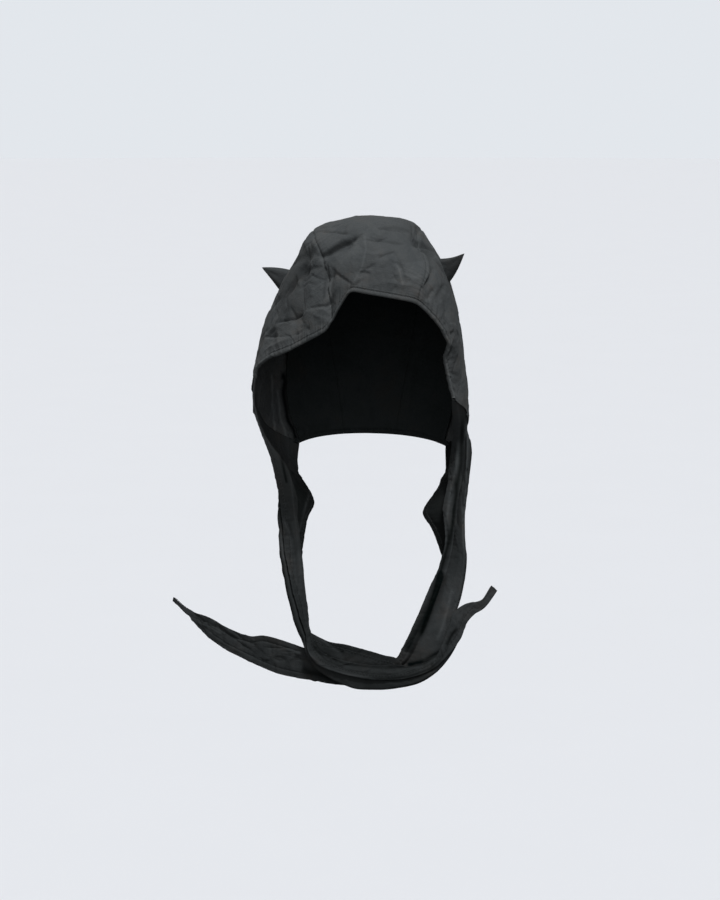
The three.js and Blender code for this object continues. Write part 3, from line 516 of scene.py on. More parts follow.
# Smooth curves through tables
def smooth_through(knots, values, at):
    knots, values, at = (np.asarray(x, float) for x in (knots, values, at))
    last = len(knots) - 1
    k = np.clip(np.searchsorted(knots, at, side="left") - 1, 0, last - 1)
    before = np.maximum(np.arange(last + 1) - 1, 0)
    after = np.minimum(np.arange(last + 1) + 1, last)
    wide = (-1,) + (1,) * (values.ndim - 1)
    slopes = (values[after] - values[before]) / (knots[after] - knots[before]).reshape(wide)
    span = knots[k + 1] - knots[k]
    u = (at - knots[k]) / span
    if values.ndim > 1:
        span, u = span[..., None], u[..., None]
    u2, u3 = u ** 2, u ** 3
    return ((2 * u3 - 3 * u2 + 1) * values[k] + (u3 - 2 * u2 + u) * span * slopes[k]
            + (3 * u2 - 2 * u3) * values[k + 1] + (u3 - u2) * span * slopes[k + 1])


def column(table, key, at, knot="at"):
    return smooth_through([row[knot] for row in table], [row[key] for row in table], at)


def smooth_step(low, high, value):
    u = np.clip((value - low) / (high - low), 0, 1)
    return u * u * (3 - 2 * u)


def unit(vectors):
    return vectors / np.maximum(np.linalg.norm(vectors, axis=-1, keepdims=True), 1e-9)


def place(out, reach, fall):
    out, reach, fall = (np.asarray(x, float) for x in (out, reach, fall))
    beyond = np.abs(out) - 1
    spread = np.where(out < 0, LEFT_TAIL_SPREAD, RIGHT_TAIL_SPREAD)
    x = np.where(beyond <= 0, out * HALF_WIDTH, np.sign(out) * (HALF_WIDTH + beyond * spread))
    y = reach * np.where(reach < 0, BRIM_REACH, BACK_REACH)
    z = np.where(fall <= 1, -fall * HOOD_HEIGHT, -HOOD_HEIGHT - (fall - 1) * SCARF_DROP)
    return np.stack([x, y, z], -1)


def table_place(table, across_key, at, knot="at"):
    return place(column(table, across_key, at, knot), column(table, "reach", at, knot),
                 column(table, "fall", at, knot))


# Hood's surface. at: 0 at the front edge, 1 at the nape. across: -1 and 1 at the scarf seams.
def arch_point(at, across):
    top = table_place(PROFILE, "lean", at)
    side = table_place(SIDE_EDGE, "out", at)
    side_lean = column(SIDE_EDGE, "lean", at) * HALF_WIDTH
    wrap = column(SIDE_EDGE, "wrap", at) * QUARTER_TURN
    square = np.where(across < 0, column(SIDE_EDGE, "left", at), column(SIDE_EDGE, "right", at))

    def direction(angle):
        size = (np.abs(np.sin(angle)) ** square + np.abs(np.cos(angle)) ** square) ** (-1 / square)
        return np.sin(angle) * size, np.cos(angle) * size

    edge_out, edge_up = direction(wrap)
    out, up = direction(wrap * across)
    drop = (1 - up) / (1 - edge_up)
    point = top + (side - top) * drop[..., None]
    point[..., 0] = side[..., 0] * out / edge_out + top[..., 0] + (side_lean - top[..., 0]) * drop
    return point


def hood_base(at, across):
    at, across = np.broadcast_arrays(np.asarray(at, float), np.asarray(across, float))
    fade = 1 - smooth_step(0, EDGE_BLEND, at)
    shift = table_place(FACE_EDGE, "out", across, "across") - arch_point(np.zeros_like(at), across)
    return arch_point(at, across) + fade[..., None] * shift


def hood_normal(at, across):
    low_at, high_at = np.clip(at - SURFACE_STEP, 0, 1), np.clip(at + SURFACE_STEP, 0, 1)
    low, high = np.clip(across - SURFACE_STEP, -1, 1), np.clip(across + SURFACE_STEP, -1, 1)
    along = hood_base(high_at, across) - hood_base(low_at, across)
    return unit(np.cross(hood_base(at, high) - hood_base(at, low), along))


def mm_per_share(at, across):
    """Length in mm of one share along and of one share across, at a place of the hood."""
    along_in = np.where(at < 0.5, SURFACE_STEP, -SURFACE_STEP)
    across_in = np.where(across < 0, SURFACE_STEP, -SURFACE_STEP)
    here = hood_base(at, across)
    along = np.linalg.norm(hood_base(at + along_in, across) - here, axis=-1) / SURFACE_STEP
    sideways = np.linalg.norm(hood_base(at, across + across_in) - here, axis=-1) / SURFACE_STEP
    return along, sideways


# Creases
def near_line(points, normals, path):
    """Distance from each point to a path, below 0 on its other side, and how far along the path it is."""
    lengths = np.linalg.norm(np.diff(path, axis=0), axis=1)
    starts = np.concatenate([[0], np.cumsum(lengths)])
    nearest = np.full(len(points), np.inf)
    side = np.zeros(len(points))
    share = np.zeros(len(points))
    for a, b, length, start in zip(path[:-1], path[1:], lengths, starts):
        heading = (b - a) / max(length, 1e-6)
        away = points - a
        along = np.clip(away @ heading, 0, length)
        away = away - along[:, None] * heading
        away = away - (away * normals).sum(1)[:, None] * normals
        distance = np.linalg.norm(away, axis=1)
        closer = distance < nearest
        nearest[closer] = distance[closer]
        side[closer] = (np.cross(normals, heading) * away).sum(1)[closer]
        share[closer] = ((start + along) / starts[-1])[closer]
    return nearest * np.where(side < 0, -1, 1), share


def crease_depth(points, normals, path, width, depth, kind):
    reach = CREASE_REACH * width
    low, high = path.min(0) - reach, path.max(0) + reach
    inside = ((points > low) & (points < high)).all(1)
    result = np.zeros(len(points))
    if not inside.any():
        return result
    distance, share = near_line(points[inside], normals[inside], path)
    taper = smooth_step(0, CREASE_TAPER, share) * smooth_step(0, CREASE_TAPER, 1 - share)
    if kind == "sharp":
        profile = np.exp(-np.hypot(distance, CREASE_ROUNDING) / width)
    elif kind == "lapped":
        lap = np.exp(-(distance / (LAP_SHARE * width)) ** 2)
        profile = np.where(distance > 0, np.exp(-distance / width), lap)
    else:
        profile = np.exp(-(np.abs(distance) / width) ** SOFT_POWER)
    result[inside] = depth * taper * profile
    return result


def crumple_lines(crumple, anchors, headings, normals):
    """Random short bent creases that start at anchors of a surface."""
    rng = np.random.default_rng(crumple["seed"])
    lines = []
    for _ in range(crumple["count"]):
        k = rng.integers(len(anchors))
        sideways = np.cross(normals[k], headings[k])
        turn = rng.uniform(-math.pi, math.pi) * (1 - crumple["along"])
        heading = math.cos(turn) * headings[k] + math.sin(turn) * sideways
        length = rng.uniform(*crumple["length"])
        bend = rng.normal(0, CRUMPLE_BEND) * length * np.cross(normals[k], heading)
        start = anchors[k] - heading * length / 2
        end = anchors[k] + heading * length / 2
        depth = rng.uniform(*crumple["depth"]) * rng.choice([-1, 1])
        path = np.array([start, anchors[k] + bend, end])
        width = rng.uniform(*crumple["width"])
        lines.append(dict(path=path, width=width, depth=depth, kind=rng.choice(CRUMPLE_KINDS)))
    return lines


def photo_lines(creases, points, facing):
    """Creases named by pixels, laid on those points of a surface that face the camera."""
    back = camera_axes()[0]
    seen = points[(facing @ back) > LEAST_FACING]
    pixels = to_pixels(seen)
    lines = []
    for crease in creases:
        path = []
        for x, y in crease["path"]:
            miss = np.hypot(pixels[:, 0] - x, pixels[:, 1] - y)
            close = miss < miss.min() + NEAR_PIXELS
            path.append(seen[close][np.argmin(pixels[close, 2])])
        lines.append({**crease, "path": np.array(path)})
    return lines


def away_from(lines, spots, points, facing):
    """Those lines that keep clear of calm spots, each named by a pixel and a radius in mm."""
    marks = photo_lines([dict(path=[spot["pixel"]]) for spot in spots], points, facing)
    kept = []
    for line in lines:
        clear = True
        for mark, spot in zip(marks, spots):
            distance, _ = near_line(mark["path"], np.zeros((1, 3)), line["path"])
            clear = clear and abs(distance[0]) > spot["radius"]
        if clear:
            kept.append(line)
    return kept


def fold_shade(creases, points):
    """Painted shade along creases that have a shade, below 0 painted highlight, by each point's place in the
    camera's image plane at any depth.
    """
    pixels = to_pixels(points.reshape(-1, 3))
    pixels[:, 2] = 0
    amount = np.zeros(len(pixels))
    for crease in creases:
        if "shade" in crease:
            path = np.array([(x, y, 0) for x, y in crease["path"]], float)
            distance, share = near_line(pixels, np.zeros_like(pixels), path)
            taper = smooth_step(0, SHADE_TAPER, share) * smooth_step(0, SHADE_TAPER, 1 - share)
            amount += crease.get("dark", 1) * taper * np.exp(-(distance / crease["shade"]) ** 2)
    return amount.reshape(points.shape[:-1])


def paint_shade_and_highlight(piece, amount):
    # Amount of painted shade at each point, below 0 painted highlight
    shade = piece.data.attributes.new("reverse", "FLOAT", "POINT")
    shade.data.foreach_set("value", np.clip(amount, LIGHTEST, DARKEST).ravel())


def total_depth(points, normals, lines):
    flat, flat_normals = points.reshape(-1, 3), normals.reshape(-1, 3)
    depth = np.zeros(len(flat))
    for line in lines:
        depth += crease_depth(flat, flat_normals, line["path"], line["width"], line["depth"], line["kind"])
    return depth.reshape(points.shape[:-1])


def pucker(distance, along):
    """Small waves beside a stitched line."""
    waves = sum(np.sin(2 * math.pi * along / length + PUCKER_PHASE * length) for length in PUCKER_WAVES)
    return PUCKER_HEIGHT * np.exp(-np.abs(distance) / PUCKER_REACH) * (waves / len(PUCKER_WAVES))


# Meshes
def mesh_piece(name, points, faces, material, uvs=None):
    mesh = bpy.data.meshes.new(name)
    mesh.from_pydata((np.asarray(points).reshape(-1, 3) * METRE).tolist(), [], faces)
    mesh.polygons.foreach_set("use_smooth", [True] * len(mesh.polygons))
    if uvs is not None:
        corner = np.empty(len(mesh.loops), dtype=np.int32)
        mesh.loops.foreach_get("vertex_index", corner)
        layer = mesh.uv_layers.new(name="cloth")
        layer.data.foreach_set("uv", (np.asarray(uvs).reshape(-1, 2)[corner] * METRE).ravel())
    mesh.materials.append(material)
    mesh.update()
    piece = bpy.data.objects.new(name, mesh)
    bpy.context.collection.objects.link(piece)
    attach(piece, "root")
    return piece


def grid_faces(rows, columns, closed=False):
    wrap = columns if closed else columns - 1
    return [(r * columns + c, r * columns + (c + 1) % columns, (r + 1) * columns + (c + 1) % columns,
             (r + 1) * columns + c) for r in range(rows - 1) for c in range(wrap)]


def shifted(faces, first):
    return [tuple(first + index for index in face) for face in faces]


def lengths_along(points, axis):
    """Arc length in mm from the first point, along one axis of a grid."""
    steps = np.linalg.norm(np.diff(points, axis=axis), axis=-1)
    start = np.zeros_like(np.take(steps, [0], axis=axis))
    return np.concatenate([start, np.cumsum(steps, axis=axis)], axis=axis)


def cloth_grid(name, points, material, thickness=0):
    """Cloth from a grid of points on its outer face: a single sheet, or with a wall of one thickness."""
    uvs = np.stack([lengths_along(points, 1), lengths_along(points, 0)], -1)
    piece = mesh_piece(name, points, grid_faces(*points.shape[:2]), material, uvs)
    if thickness == 0:
        return piece
    wall = piece.modifiers.new("wall", "SOLIDIFY")
    wall.thickness = thickness * METRE
    wall.offset = -1
    wall.use_even_offset = False
    return piece


# Hood panels
def hood_fold_lines():
    lines = []
    for fold in FOLDS:
        ends = hood_base(np.array([fold["at"], fold["toAt"]]), np.array([fold["across"], fold["toAcross"]]))
        lines.append((ends[0], ends[1], fold["width"] * HEM_WIDTH, fold["depth"] * HEM_WIDTH))
    return lines


def fold_depth(points, lines):
    depth = np.zeros(points.shape[:-1])
    for start, end, width, deep in lines:
        run = end - start
        share = np.clip(((points - start) @ run) / (run @ run), 0, 1)
        distance = np.linalg.norm(points - start - share[..., None] * run, axis=-1)
        depth += deep * np.exp(-(distance / width) ** 2)
    return depth


def coarse_hood():
    at, across = np.meshgrid(np.linspace(0.01, 0.99, COARSE_STEPS), np.linspace(-0.99, 0.99, COARSE_STEPS),
                             indexing="ij")
    points, normals = hood_base(at, across), hood_normal(at, across)
    headings = unit(hood_base(at + SURFACE_STEP, across) - points)
    return [grid.reshape(-1, 3) for grid in (points, normals, headings)]


HOOD_POINTS, HOOD_NORMALS, HOOD_HEADINGS = coarse_hood()
HOOD_FOLDS = hood_fold_lines()
HOOD_LINES = photo_lines(HOOD_CREASES, HOOD_POINTS, HOOD_NORMALS)
HOOD_SMALL_LINES = away_from(crumple_lines(HOOD_FACETS, HOOD_POINTS, HOOD_HEADINGS, HOOD_NORMALS)
                             + crumple_lines(HOOD_CRUMPLE, HOOD_POINTS, HOOD_HEADINGS, HOOD_NORMALS),
                             HOOD_CALM, HOOD_POINTS, HOOD_NORMALS)
LINING_LINES = photo_lines(LINING_CREASES, HOOD_POINTS, -HOOD_NORMALS)
LINING_SMALL_LINES = crumple_lines(LINING_CRUMPLE, HOOD_POINTS, HOOD_HEADINGS, HOOD_NORMALS)


def hood_relief(points, normals):
    relief = -total_depth(points, normals, HOOD_LINES) - total_depth(points, normals, HOOD_SMALL_LINES)
    return np.where(relief > 0, OUTWARD_SHARE * relief, relief) - fold_depth(points, HOOD_FOLDS)


def seam_pucker(at, across):
    """Relief beside the two long seams of the crown."""
    along_mm, across_mm = mm_per_share(at, across)
    relief = np.zeros_like(at)
    for key in ("left", "right"):
        distance = (across - column(SEAMS, key, at)) * across_mm
        relief += pucker(distance, at * PANEL_LENGTH) - SEAM_SINK * np.exp(-(distance / SEAM_ROLL) ** 2)
    return relief


def shell_points(at, across):
    base, normals = hood_base(at, across), hood_normal(at, across)
    along_mm, _ = mm_per_share(at, across)
    front = at * along_mm - HEM_WIDTH
    back = (1 - at) * along_mm - HEM_WIDTH
    sideways = across * HOOD_WIDTH
    relief = (hood_relief(base, normals) + seam_pucker(at, across) + pucker(front, sideways)
              + pucker(back, sideways))
    return base + (SHELL_TOP + relief)[..., None] * normals


def lining_points(at, across):
    base, normals = hood_base(at, across), hood_normal(at, across)
    own = total_depth(base, normals, LINING_LINES) + total_depth(base, normals, LINING_SMALL_LINES)
    inward = np.maximum(own, -LINING_RISE) - np.minimum(hood_relief(base, normals), 0)
    return base + (LINING_TOP - inward)[..., None] * normals


def hem_share(along_zero, across):
    return HEM_WIDTH / mm_per_share(np.full_like(across, along_zero), across)[0]


def panel_grid(left_edge, right_edge, step):
    """Grid of at and across between two edges, each a function of at, and inside the hems."""
    rows = int(PANEL_LENGTH / step)
    middle = np.linspace(0, 1, rows)
    widest = (right_edge(middle) - left_edge(middle)).max() * HALF_WIDTH * QUARTER_TURN
    columns = int(widest / step)
    share = np.linspace(0, 1, columns)[None, :]
    at = np.repeat(middle[:, None], columns, axis=1)
    for _ in range(2):
        across = left_edge(at) + (right_edge(at) - left_edge(at)) * share
        first = HEM_OVERLAP * hem_share(0.0, across[0])
        last = 1 - HEM_OVERLAP * hem_share(1.0, across[-1])
        at = first + (last - first) * middle[:, None]
    across = left_edge(at) + (right_edge(at) - left_edge(at)) * share
    return at, across


def left_seam(at):
    return column(SEAMS, "left", at)


def right_seam(at):
    return column(SEAMS, "right", at)


def hood_side(side):
    return lambda at: np.full_like(at, side)


def lining_side(side):
    return lambda at: side * column(LINING_EDGE, "side", at)


def hood_panel(name, node, left_edge, right_edge):
    at, across = panel_grid(left_edge, right_edge, PANEL_STEP)
    piece = cloth_grid(name, shell_points(at, across), SHELL)
    # Painted shade and highlight along the hood's creases
    paint_shade_and_highlight(piece, fold_shade(HOOD_CREASES, hood_base(at, across)))
    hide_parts(node)
    return piece


def lining_panel(name, node, left_edge, right_edge):
    at, across = panel_grid(left_edge, right_edge, LINING_STEP)
    piece = cloth_grid(name, lining_points(at, across), LINING, LINING_THICKNESS)
    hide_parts(node)
    return piece


# Hems
def hem_points(from_front, across, inward, height):
    edge = np.zeros_like(across) if from_front else np.ones_like(across)
    along_mm, _ = mm_per_share(edge, across)
    at = inward / along_mm if from_front else 1 - inward / along_mm
    at = np.clip(at, 0, 1)
    base, normals = hood_base(at, across), hood_normal(at, across)
    beyond = np.minimum(inward, 0)[..., None] * unit(hood_base(np.clip(at + SURFACE_STEP, 0, 1), across)
                                                   - hood_base(np.clip(at - SURFACE_STEP, 0, 1), across))
    ripple = pucker(inward - HEM_WIDTH, across * HOOD_WIDTH)
    relief = hood_relief(base, normals) + ripple
    return base + beyond * (1 if from_front else -1) + (height + relief)[..., None] * normals


def hem_band(name, node, from_front, material):
    across = np.repeat(np.linspace(-1, 1, HEM_STEPS)[:, None], len(HEM_SECTION), axis=1)
    inward = np.array([[spot["inward"] for spot in HEM_SECTION]]) + np.zeros_like(across)
    height = np.array([[spot["height"] for spot in HEM_SECTION]]) + np.zeros_like(across)
    points = hem_points(from_front, across, inward, height)
    rows, columns = across.shape
    faces = grid_faces(rows, columns, closed=True)
    faces += [tuple(range(columns)), tuple((rows - 1) * columns + c for c in reversed(range(columns)))]
    if from_front:
        faces = [tuple(reversed(face)) for face in faces]
    uvs = np.stack([lengths_along(points, 1), lengths_along(points, 0)], -1)
    piece = mesh_piece(name, points, faces, material, uvs)
    # Painted shade in the hem's stitched groove, painted highlight on its rolled edge
    paint_shade_and_highlight(piece, np.array([[spot["shade"] for spot in HEM_SECTION]]) + np.zeros_like(across))
    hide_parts(node)
    return piece


# Stitches: short rounded lengths of thread along a line on the cloth
def stitch_row(name, line, normals, material):
    along = lengths_along(line, 0)
    points, faces = [], []
    sides = STITCH_SIDES
    start = STITCH_START
    while start + STITCH_LENGTH < along[-1]:
        rings = []
        for share, size, lift in STITCH_RINGS:
            s = start + share * STITCH_LENGTH
            centre = np.array([np.interp(s, along, line[:, axis]) for axis in range(3)])
            ahead = np.array([np.interp(s + STITCH_AHEAD, along, line[:, axis]) for axis in range(3)])
            up = unit(np.array([np.interp(s, along, normals[:, axis]) for axis in range(3)]))
            side = unit(np.cross(unit(ahead - centre), up))
            middle = centre + up * lift * THREAD_RADIUS
            rings.append([middle + size * THREAD_RADIUS * (math.cos(a) * side + math.sin(a) * up)
                          for a in np.linspace(0, 2 * math.pi, sides, endpoint=False)])
        first = len(points)
        points += [point for ring in rings for point in ring]
        faces += shifted(grid_faces(len(rings), sides, closed=True), first)
        faces.append(tuple(first + k for k in range(sides)))
        faces.append(tuple(first + (len(rings) - 1) * sides + k for k in reversed(range(sides))))
        start += STITCH_LENGTH + STITCH_PAUSE
    piece = mesh_piece(name, points, faces, material)
    return piece


def hem_stitches(name, from_front, height, material):
    across = np.linspace(-HEM_STITCH_END, HEM_STITCH_END, HEM_STEPS)
    inward = np.full_like(across, STITCH_INSET)
    line = hem_points(from_front, across, inward, np.full_like(across, height))
    normals = hood_normal(np.full_like(across, 0.0 if from_front else 1.0), across)
    return stitch_row(name, line, normals * (1 if height > 0 else -1), material)


# Horns: padded cones with a bent tip and a few creases

def horn_piece(row):
    angles = np.linspace(0, 2 * math.pi, HORN_SIDES, endpoint=False)
    at, across = np.full(HORN_SIDES, row["at"]), np.full(HORN_SIDES, row["across"])
    along_mm, across_mm = mm_per_share(at, across)
    slim = HORN_PADDING / HORN_BASE
    rim_at = at + np.cos(angles) * slim * HORN_BASE / 2 / along_mm
    rim_across = across + np.sin(angles) * HORN_BASE / 2 / across_mm
    base = hood_base(rim_at, rim_across)
    normals = hood_normal(rim_at, rim_across)
    rim = base + (SHELL_TOP - HORN_SINK + hood_relief(base, normals))[:, None] * normals
    centre = rim.mean(0)
    lean = unit(np.array([np.sign(row["across"]), -row["forward"], row["rise"]]))
    tip = centre + HORN_LENGTH * lean
    inside = rim - centre
    rings = []
    for k in range(HORN_RINGS + 1):
        share = k / HORN_RINGS
        size = (1 - share) ** HORN_TAPER + HORN_SWELL * math.sin(math.pi * share)
        bend = row["bend"] * math.sin(math.pi * share) * np.array([0, 0, 1])
        ring = centre + share * (tip - centre) + inside * size + bend
        outward = unit(inside - (inside @ lean)[:, None] * lean)
        dent = 0
        for crease in HORN_CREASES:
            off = np.angle(np.exp(1j * (angles - crease["angle"] - HORN_TWIST * share)))
            dent = dent + crease["depth"] * np.exp(-(off / crease["width"]) ** 2)
        fade = math.sin(math.pi * min(1, share * HORN_DENT_RUN + HORN_DENT_START))
        gather = HORN_GATHER["height"] * np.sin(HORN_GATHER["waves"] * angles + HORN_GATHER["twist"] * share)
        inward = dent * fade + gather * math.exp(-share * HORN_GATHER["fade"])
        rings.append(ring - inward[:, None] * outward)
    points = np.concatenate([centre[None, :]] + rings)
    first = 1
    faces = [(0, first + (k + 1) % HORN_SIDES, first + k) for k in range(HORN_SIDES)]
    faces += shifted(grid_faces(HORN_RINGS + 1, HORN_SIDES, closed=True), first)
    if np.linalg.det(np.array([rim[0] - centre, rim[HORN_SIDES // 4] - centre, tip - centre])) < 0:
        faces = [tuple(reversed(face)) for face in faces]
    piece = mesh_piece("padded_" + row["name"], points, faces, HORN)
    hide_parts(row["name"])
    return piece


# Scarf tails: a cloth folded in three, whose layers open towards the free end
def scarf_grid(rows, side):
    """Points of the folded cloth, the direction that its front layer faces, and its length so far."""
    outer = np.array([place(*row["outer"]) for row in rows])
    inner = np.array([place(*row["inner"]) for row in rows])
    middles = (outer + inner) / 2
    run = np.concatenate([[0], np.cumsum(np.linalg.norm(np.diff(middles, axis=0), axis=1))])
    shares = run / run[-1]
    along = np.linspace(0, 1, SCARF_LENGTH_STEPS)
    w = np.linspace(0, 1, SCARF_WIDTH_STEPS)
    outer_here = smooth_through(shares, outer, along)
    inner_here = smooth_through(shares, inner, along)
    centre = smooth_through(shares, outer + inner, along)
    heading = unit(np.gradient(centre, along, axis=0))
    spread = inner_here - outer_here
    facing = -side * unit(np.cross(heading, spread))
    folds = smooth_through(shares, np.array([row["folds"] for row in rows], float), along)
    stack = smooth_through(shares, [row.get("stack", 1) for row in rows], along)
    free = np.clip(smooth_through(shares, [row.get("free", 1) for row in rows], along), 0, 1)
    share = np.array([smooth_through([0, FIRST_FOLD, SECOND_FOLD, 1], fold, w) for fold in folds])
    layer = (smooth_step(FIRST_FOLD - FOLD_TURN, FIRST_FOLD + FOLD_TURN, w)
             + smooth_step(SECOND_FOLD - FOLD_TURN, SECOND_FOLD + FOLD_TURN, w))
    depth = (LAYER_PITCH * layer[None, :] - LAYER_LIFT) * stack[:, None]
    section = (outer_here[:, None] + share[..., None] * spread[:, None]
               - depth[..., None] * facing[:, None])
    edge_at = w
    tucked = side * (1 - SCARF_TUCK / mm_per_share(edge_at, np.full_like(w, side))[1])
    edge = hood_base(edge_at, tucked)
    normals = hood_normal(edge_at, tucked)
    seam = edge + (SHELL_TOP - SCARF_SINK + hood_relief(edge, normals))[:, None] * normals
    hanging = seam[None, :] + (outer_here - outer[0])[:, None]
    points = hanging + free[:, None, None] * (section - hanging)
    return points, facing, along * run[-1]


def scarf_piece(name, node, rows, side, creases, crumple, shade_rows):
    points, facing, run = scarf_grid(rows, side)
    facing_grid = np.repeat(facing[:, None], SCARF_WIDTH_STEPS, axis=1)
    heading = unit(np.gradient(points.mean(1), axis=0))
    heading_grid = np.repeat(heading[:, None], SCARF_WIDTH_STEPS, axis=1)
    flat_points = points.reshape(-1, 3)
    lines = photo_lines(creases, flat_points, facing_grid.reshape(-1, 3))
    lines += crumple_lines(crumple, flat_points, heading_grid.reshape(-1, 3), facing_grid.reshape(-1, 3))
    relief = -total_depth(points, facing_grid, lines)
    across = lengths_along(points, 1)
    for distance in (across, across[:, -1:] - across):
        relief += pucker(distance - SCARF_STITCH_INSET, run[:, None])
        relief -= GROOVE_DEPTH * np.exp(-((distance - SCARF_STITCH_INSET) / GROOVE_WIDTH) ** 2)
    relief *= smooth_step(0, SCARF_SEAM_SHARE, np.linspace(0, 1, SCARF_LENGTH_STEPS))[:, None]
    points = points + relief[..., None] * facing_grid
    piece = cloth_grid(name, points, SCARF, SCARF_THICKNESS)
    # Painted shade and highlight: by the table on the front and hindmost layers, and along the creases
    front, back, edge = [column(shade_rows, key, np.linspace(0, 1, SCARF_LENGTH_STEPS))[:, None]
                         for key in ("front", "back", "edge")]
    width_shares = np.linspace(0, 1, SCARF_WIDTH_STEPS)[None, :]
    behind = smooth_step(edge - PAINTED_SHADE_EDGE, edge + PAINTED_SHADE_EDGE, width_shares)
    paint_shade_and_highlight(piece, front + (back - front) * behind + fold_shade(creases, points))
    if side < 0:
        piece.data.flip_normals()
    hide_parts(node)
    for edge_name, at_edge in (("outer", across), ("inner", across[:, -1:] - across)):
        scarf_stitches(f"{name}_{edge_name}_stitches", points, at_edge, side)


def scarf_stitches(name, points, distance, side):
    """Stitches on both faces of the cloth, at one distance from its edge."""
    normals = side * unit(np.cross(np.gradient(points, axis=0), np.gradient(points, axis=1)))
    order = np.argsort(distance, axis=1)
    line, up = [], []
    for k in range(0, len(points), STITCH_ROWS):
        sorted_distance = distance[k][order[k]]
        for places, found in ((points, line), (normals, up)):
            here = places[k][order[k]]
            found.append([np.interp(SCARF_STITCH_INSET, sorted_distance, here[:, axis]) for axis in range(3)])
    line, up = np.array(line), unit(np.array(up))
    first = int(SCARF_STITCH_START * len(line))
    line, up = line[first:], up[first:]
    stitch_row(name + "_front", line, up, SCARF)
    stitch_row(name + "_back", line - SCARF_THICKNESS * up, -up, SCARF)


# Materials
def nodes_of(material):
    material.use_nodes = True
    tree = material.node_tree
    tree.nodes.clear()
    out = tree.nodes.new("ShaderNodeOutputMaterial")
    shader = tree.nodes.new("ShaderNodeBsdfPrincipled")
    tree.links.new(shader.outputs["BSDF"], out.inputs["Surface"])
    return tree, shader


def noise(tree, coordinates, scale, detail, roughness=0.5):
    node = tree.nodes.new("ShaderNodeTexNoise")
    node.inputs["Scale"].default_value = scale
    node.inputs["Detail"].default_value = detail
    node.inputs["Roughness"].default_value = roughness
    tree.links.new(coordinates, node.inputs["Vector"])
    return node.outputs["Fac"]


def colour_ramp(tree, value, stops):
    ramp = tree.nodes.new("ShaderNodeValToRGB")
    tree.links.new(value, ramp.inputs["Fac"])
    while len(ramp.color_ramp.elements) < len(stops):
        ramp.color_ramp.elements.new(0.5)
    for element, (position, colour) in zip(ramp.color_ramp.elements, stops):
        element.position = position
        element.color = (*colour, 1)
    return ramp.outputs["Color"]


def bump(tree, height, strength, distance, normal=None):
    node = tree.nodes.new("ShaderNodeBump")
    node.inputs["Strength"].default_value = strength
    node.inputs["Distance"].default_value = distance
    tree.links.new(height, node.inputs["Height"])
    if normal is not None:
        tree.links.new(normal, node.inputs["Normal"])
    return node.outputs["Normal"]


def weave(tree, uv):
    """Plain weave: the higher of two crossing sets of threads."""
    heights = []
    for direction in ("X", "Y"):
        wave = tree.nodes.new("ShaderNodeTexWave")
        wave.bands_direction = direction
        wave.inputs["Scale"].default_value = THREADS_PER_METRE / BANDS_PER_SCALE
        wave.inputs["Distortion"].default_value = THREAD_WOBBLE
        wave.inputs["Detail"].default_value = THREAD_DETAIL
        tree.links.new(uv, wave.inputs["Vector"])
        heights.append(wave.outputs["Fac"])
    higher = tree.nodes.new("ShaderNodeMath")
    higher.operation = "MAXIMUM"
    tree.links.new(heights[0], higher.inputs[0])
    tree.links.new(heights[1], higher.inputs[1])
    return higher.outputs["Value"]


def mix_painted_shade(tree, shades, reverse):
    """Painted shade: a mix towards a dark colour by the mesh's attribute, and painted highlight where it is
    below 0.
    """
    amount = tree.nodes.new("ShaderNodeAttribute")
    amount.attribute_name = "reverse"
    mix = tree.nodes.new("ShaderNodeMix")
    mix.data_type = "RGBA"
    mix.clamp_factor = False
    tree.links.new(amount.outputs["Fac"], mix.inputs["Factor"])
    tree.links.new(shades, mix.inputs["A"])
    mix.inputs["B"].default_value = (*reverse, 1)
    return mix.outputs["Result"]


def cloth_material(cloth):
    """Woven nylon with uneven dye, and painted shade and highlight where the cloth has a colour for them."""
    material = bpy.data.materials.new(cloth["name"])
    tree, shader = nodes_of(material)
    coordinates = tree.nodes.new("ShaderNodeTexCoord").outputs
    colours = [cloth[key] for key in ("dark", "light", "warm")]
    shades = colour_ramp(tree, noise(tree, coordinates["Object"], **DYE), list(zip(DYE_STOPS, colours)))
    if "reverse" in cloth:
        shades = mix_painted_shade(tree, shades, cloth["reverse"])
    tree.links.new(shades, shader.inputs["Base Color"])
    rough = tree.nodes.new("ShaderNodeMapRange")
    rough.inputs["To Min"].default_value = cloth["roughness"] - GLOSS_VARIATION
    rough.inputs["To Max"].default_value = cloth["roughness"] + GLOSS_VARIATION
    tree.links.new(noise(tree, coordinates["Object"], **GLOSS), rough.inputs["Value"])
    tree.links.new(rough.outputs["Result"], shader.inputs["Roughness"])
    shader.inputs["Sheen Weight"].default_value = cloth["sheen"]
    shader.inputs["Sheen Roughness"].default_value = SHEEN_ROUGHNESS
    shader.inputs["Specular IOR Level"].default_value = cloth["specular"]
    soft = bump(tree, noise(tree, coordinates["Object"], **CRINKLE), CRINKLE_STRENGTH, CRINKLE_DEPTH)
    threads = bump(tree, weave(tree, coordinates["UV"]), THREAD_STRENGTH, THREAD_DEPTH, soft)
    tree.links.new(threads, shader.inputs["Normal"])
    return material


def floor_material():
    material = bpy.data.materials.new("pale_floor")
    tree, shader = nodes_of(material)
    coordinates = tree.nodes.new("ShaderNodeTexCoord").outputs
    patches = noise(tree, coordinates["Object"], **FLOOR_PATCHES)
    darker = tuple(FLOOR_PATCH_SHADE * c for c in FLOOR_COLOUR)
    shades = colour_ramp(tree, patches, [(0, darker), (1, FLOOR_COLOUR)])
    tree.links.new(shades, shader.inputs["Base Color"])
    shader.inputs["Roughness"].default_value = FLOOR_ROUGHNESS
    return material


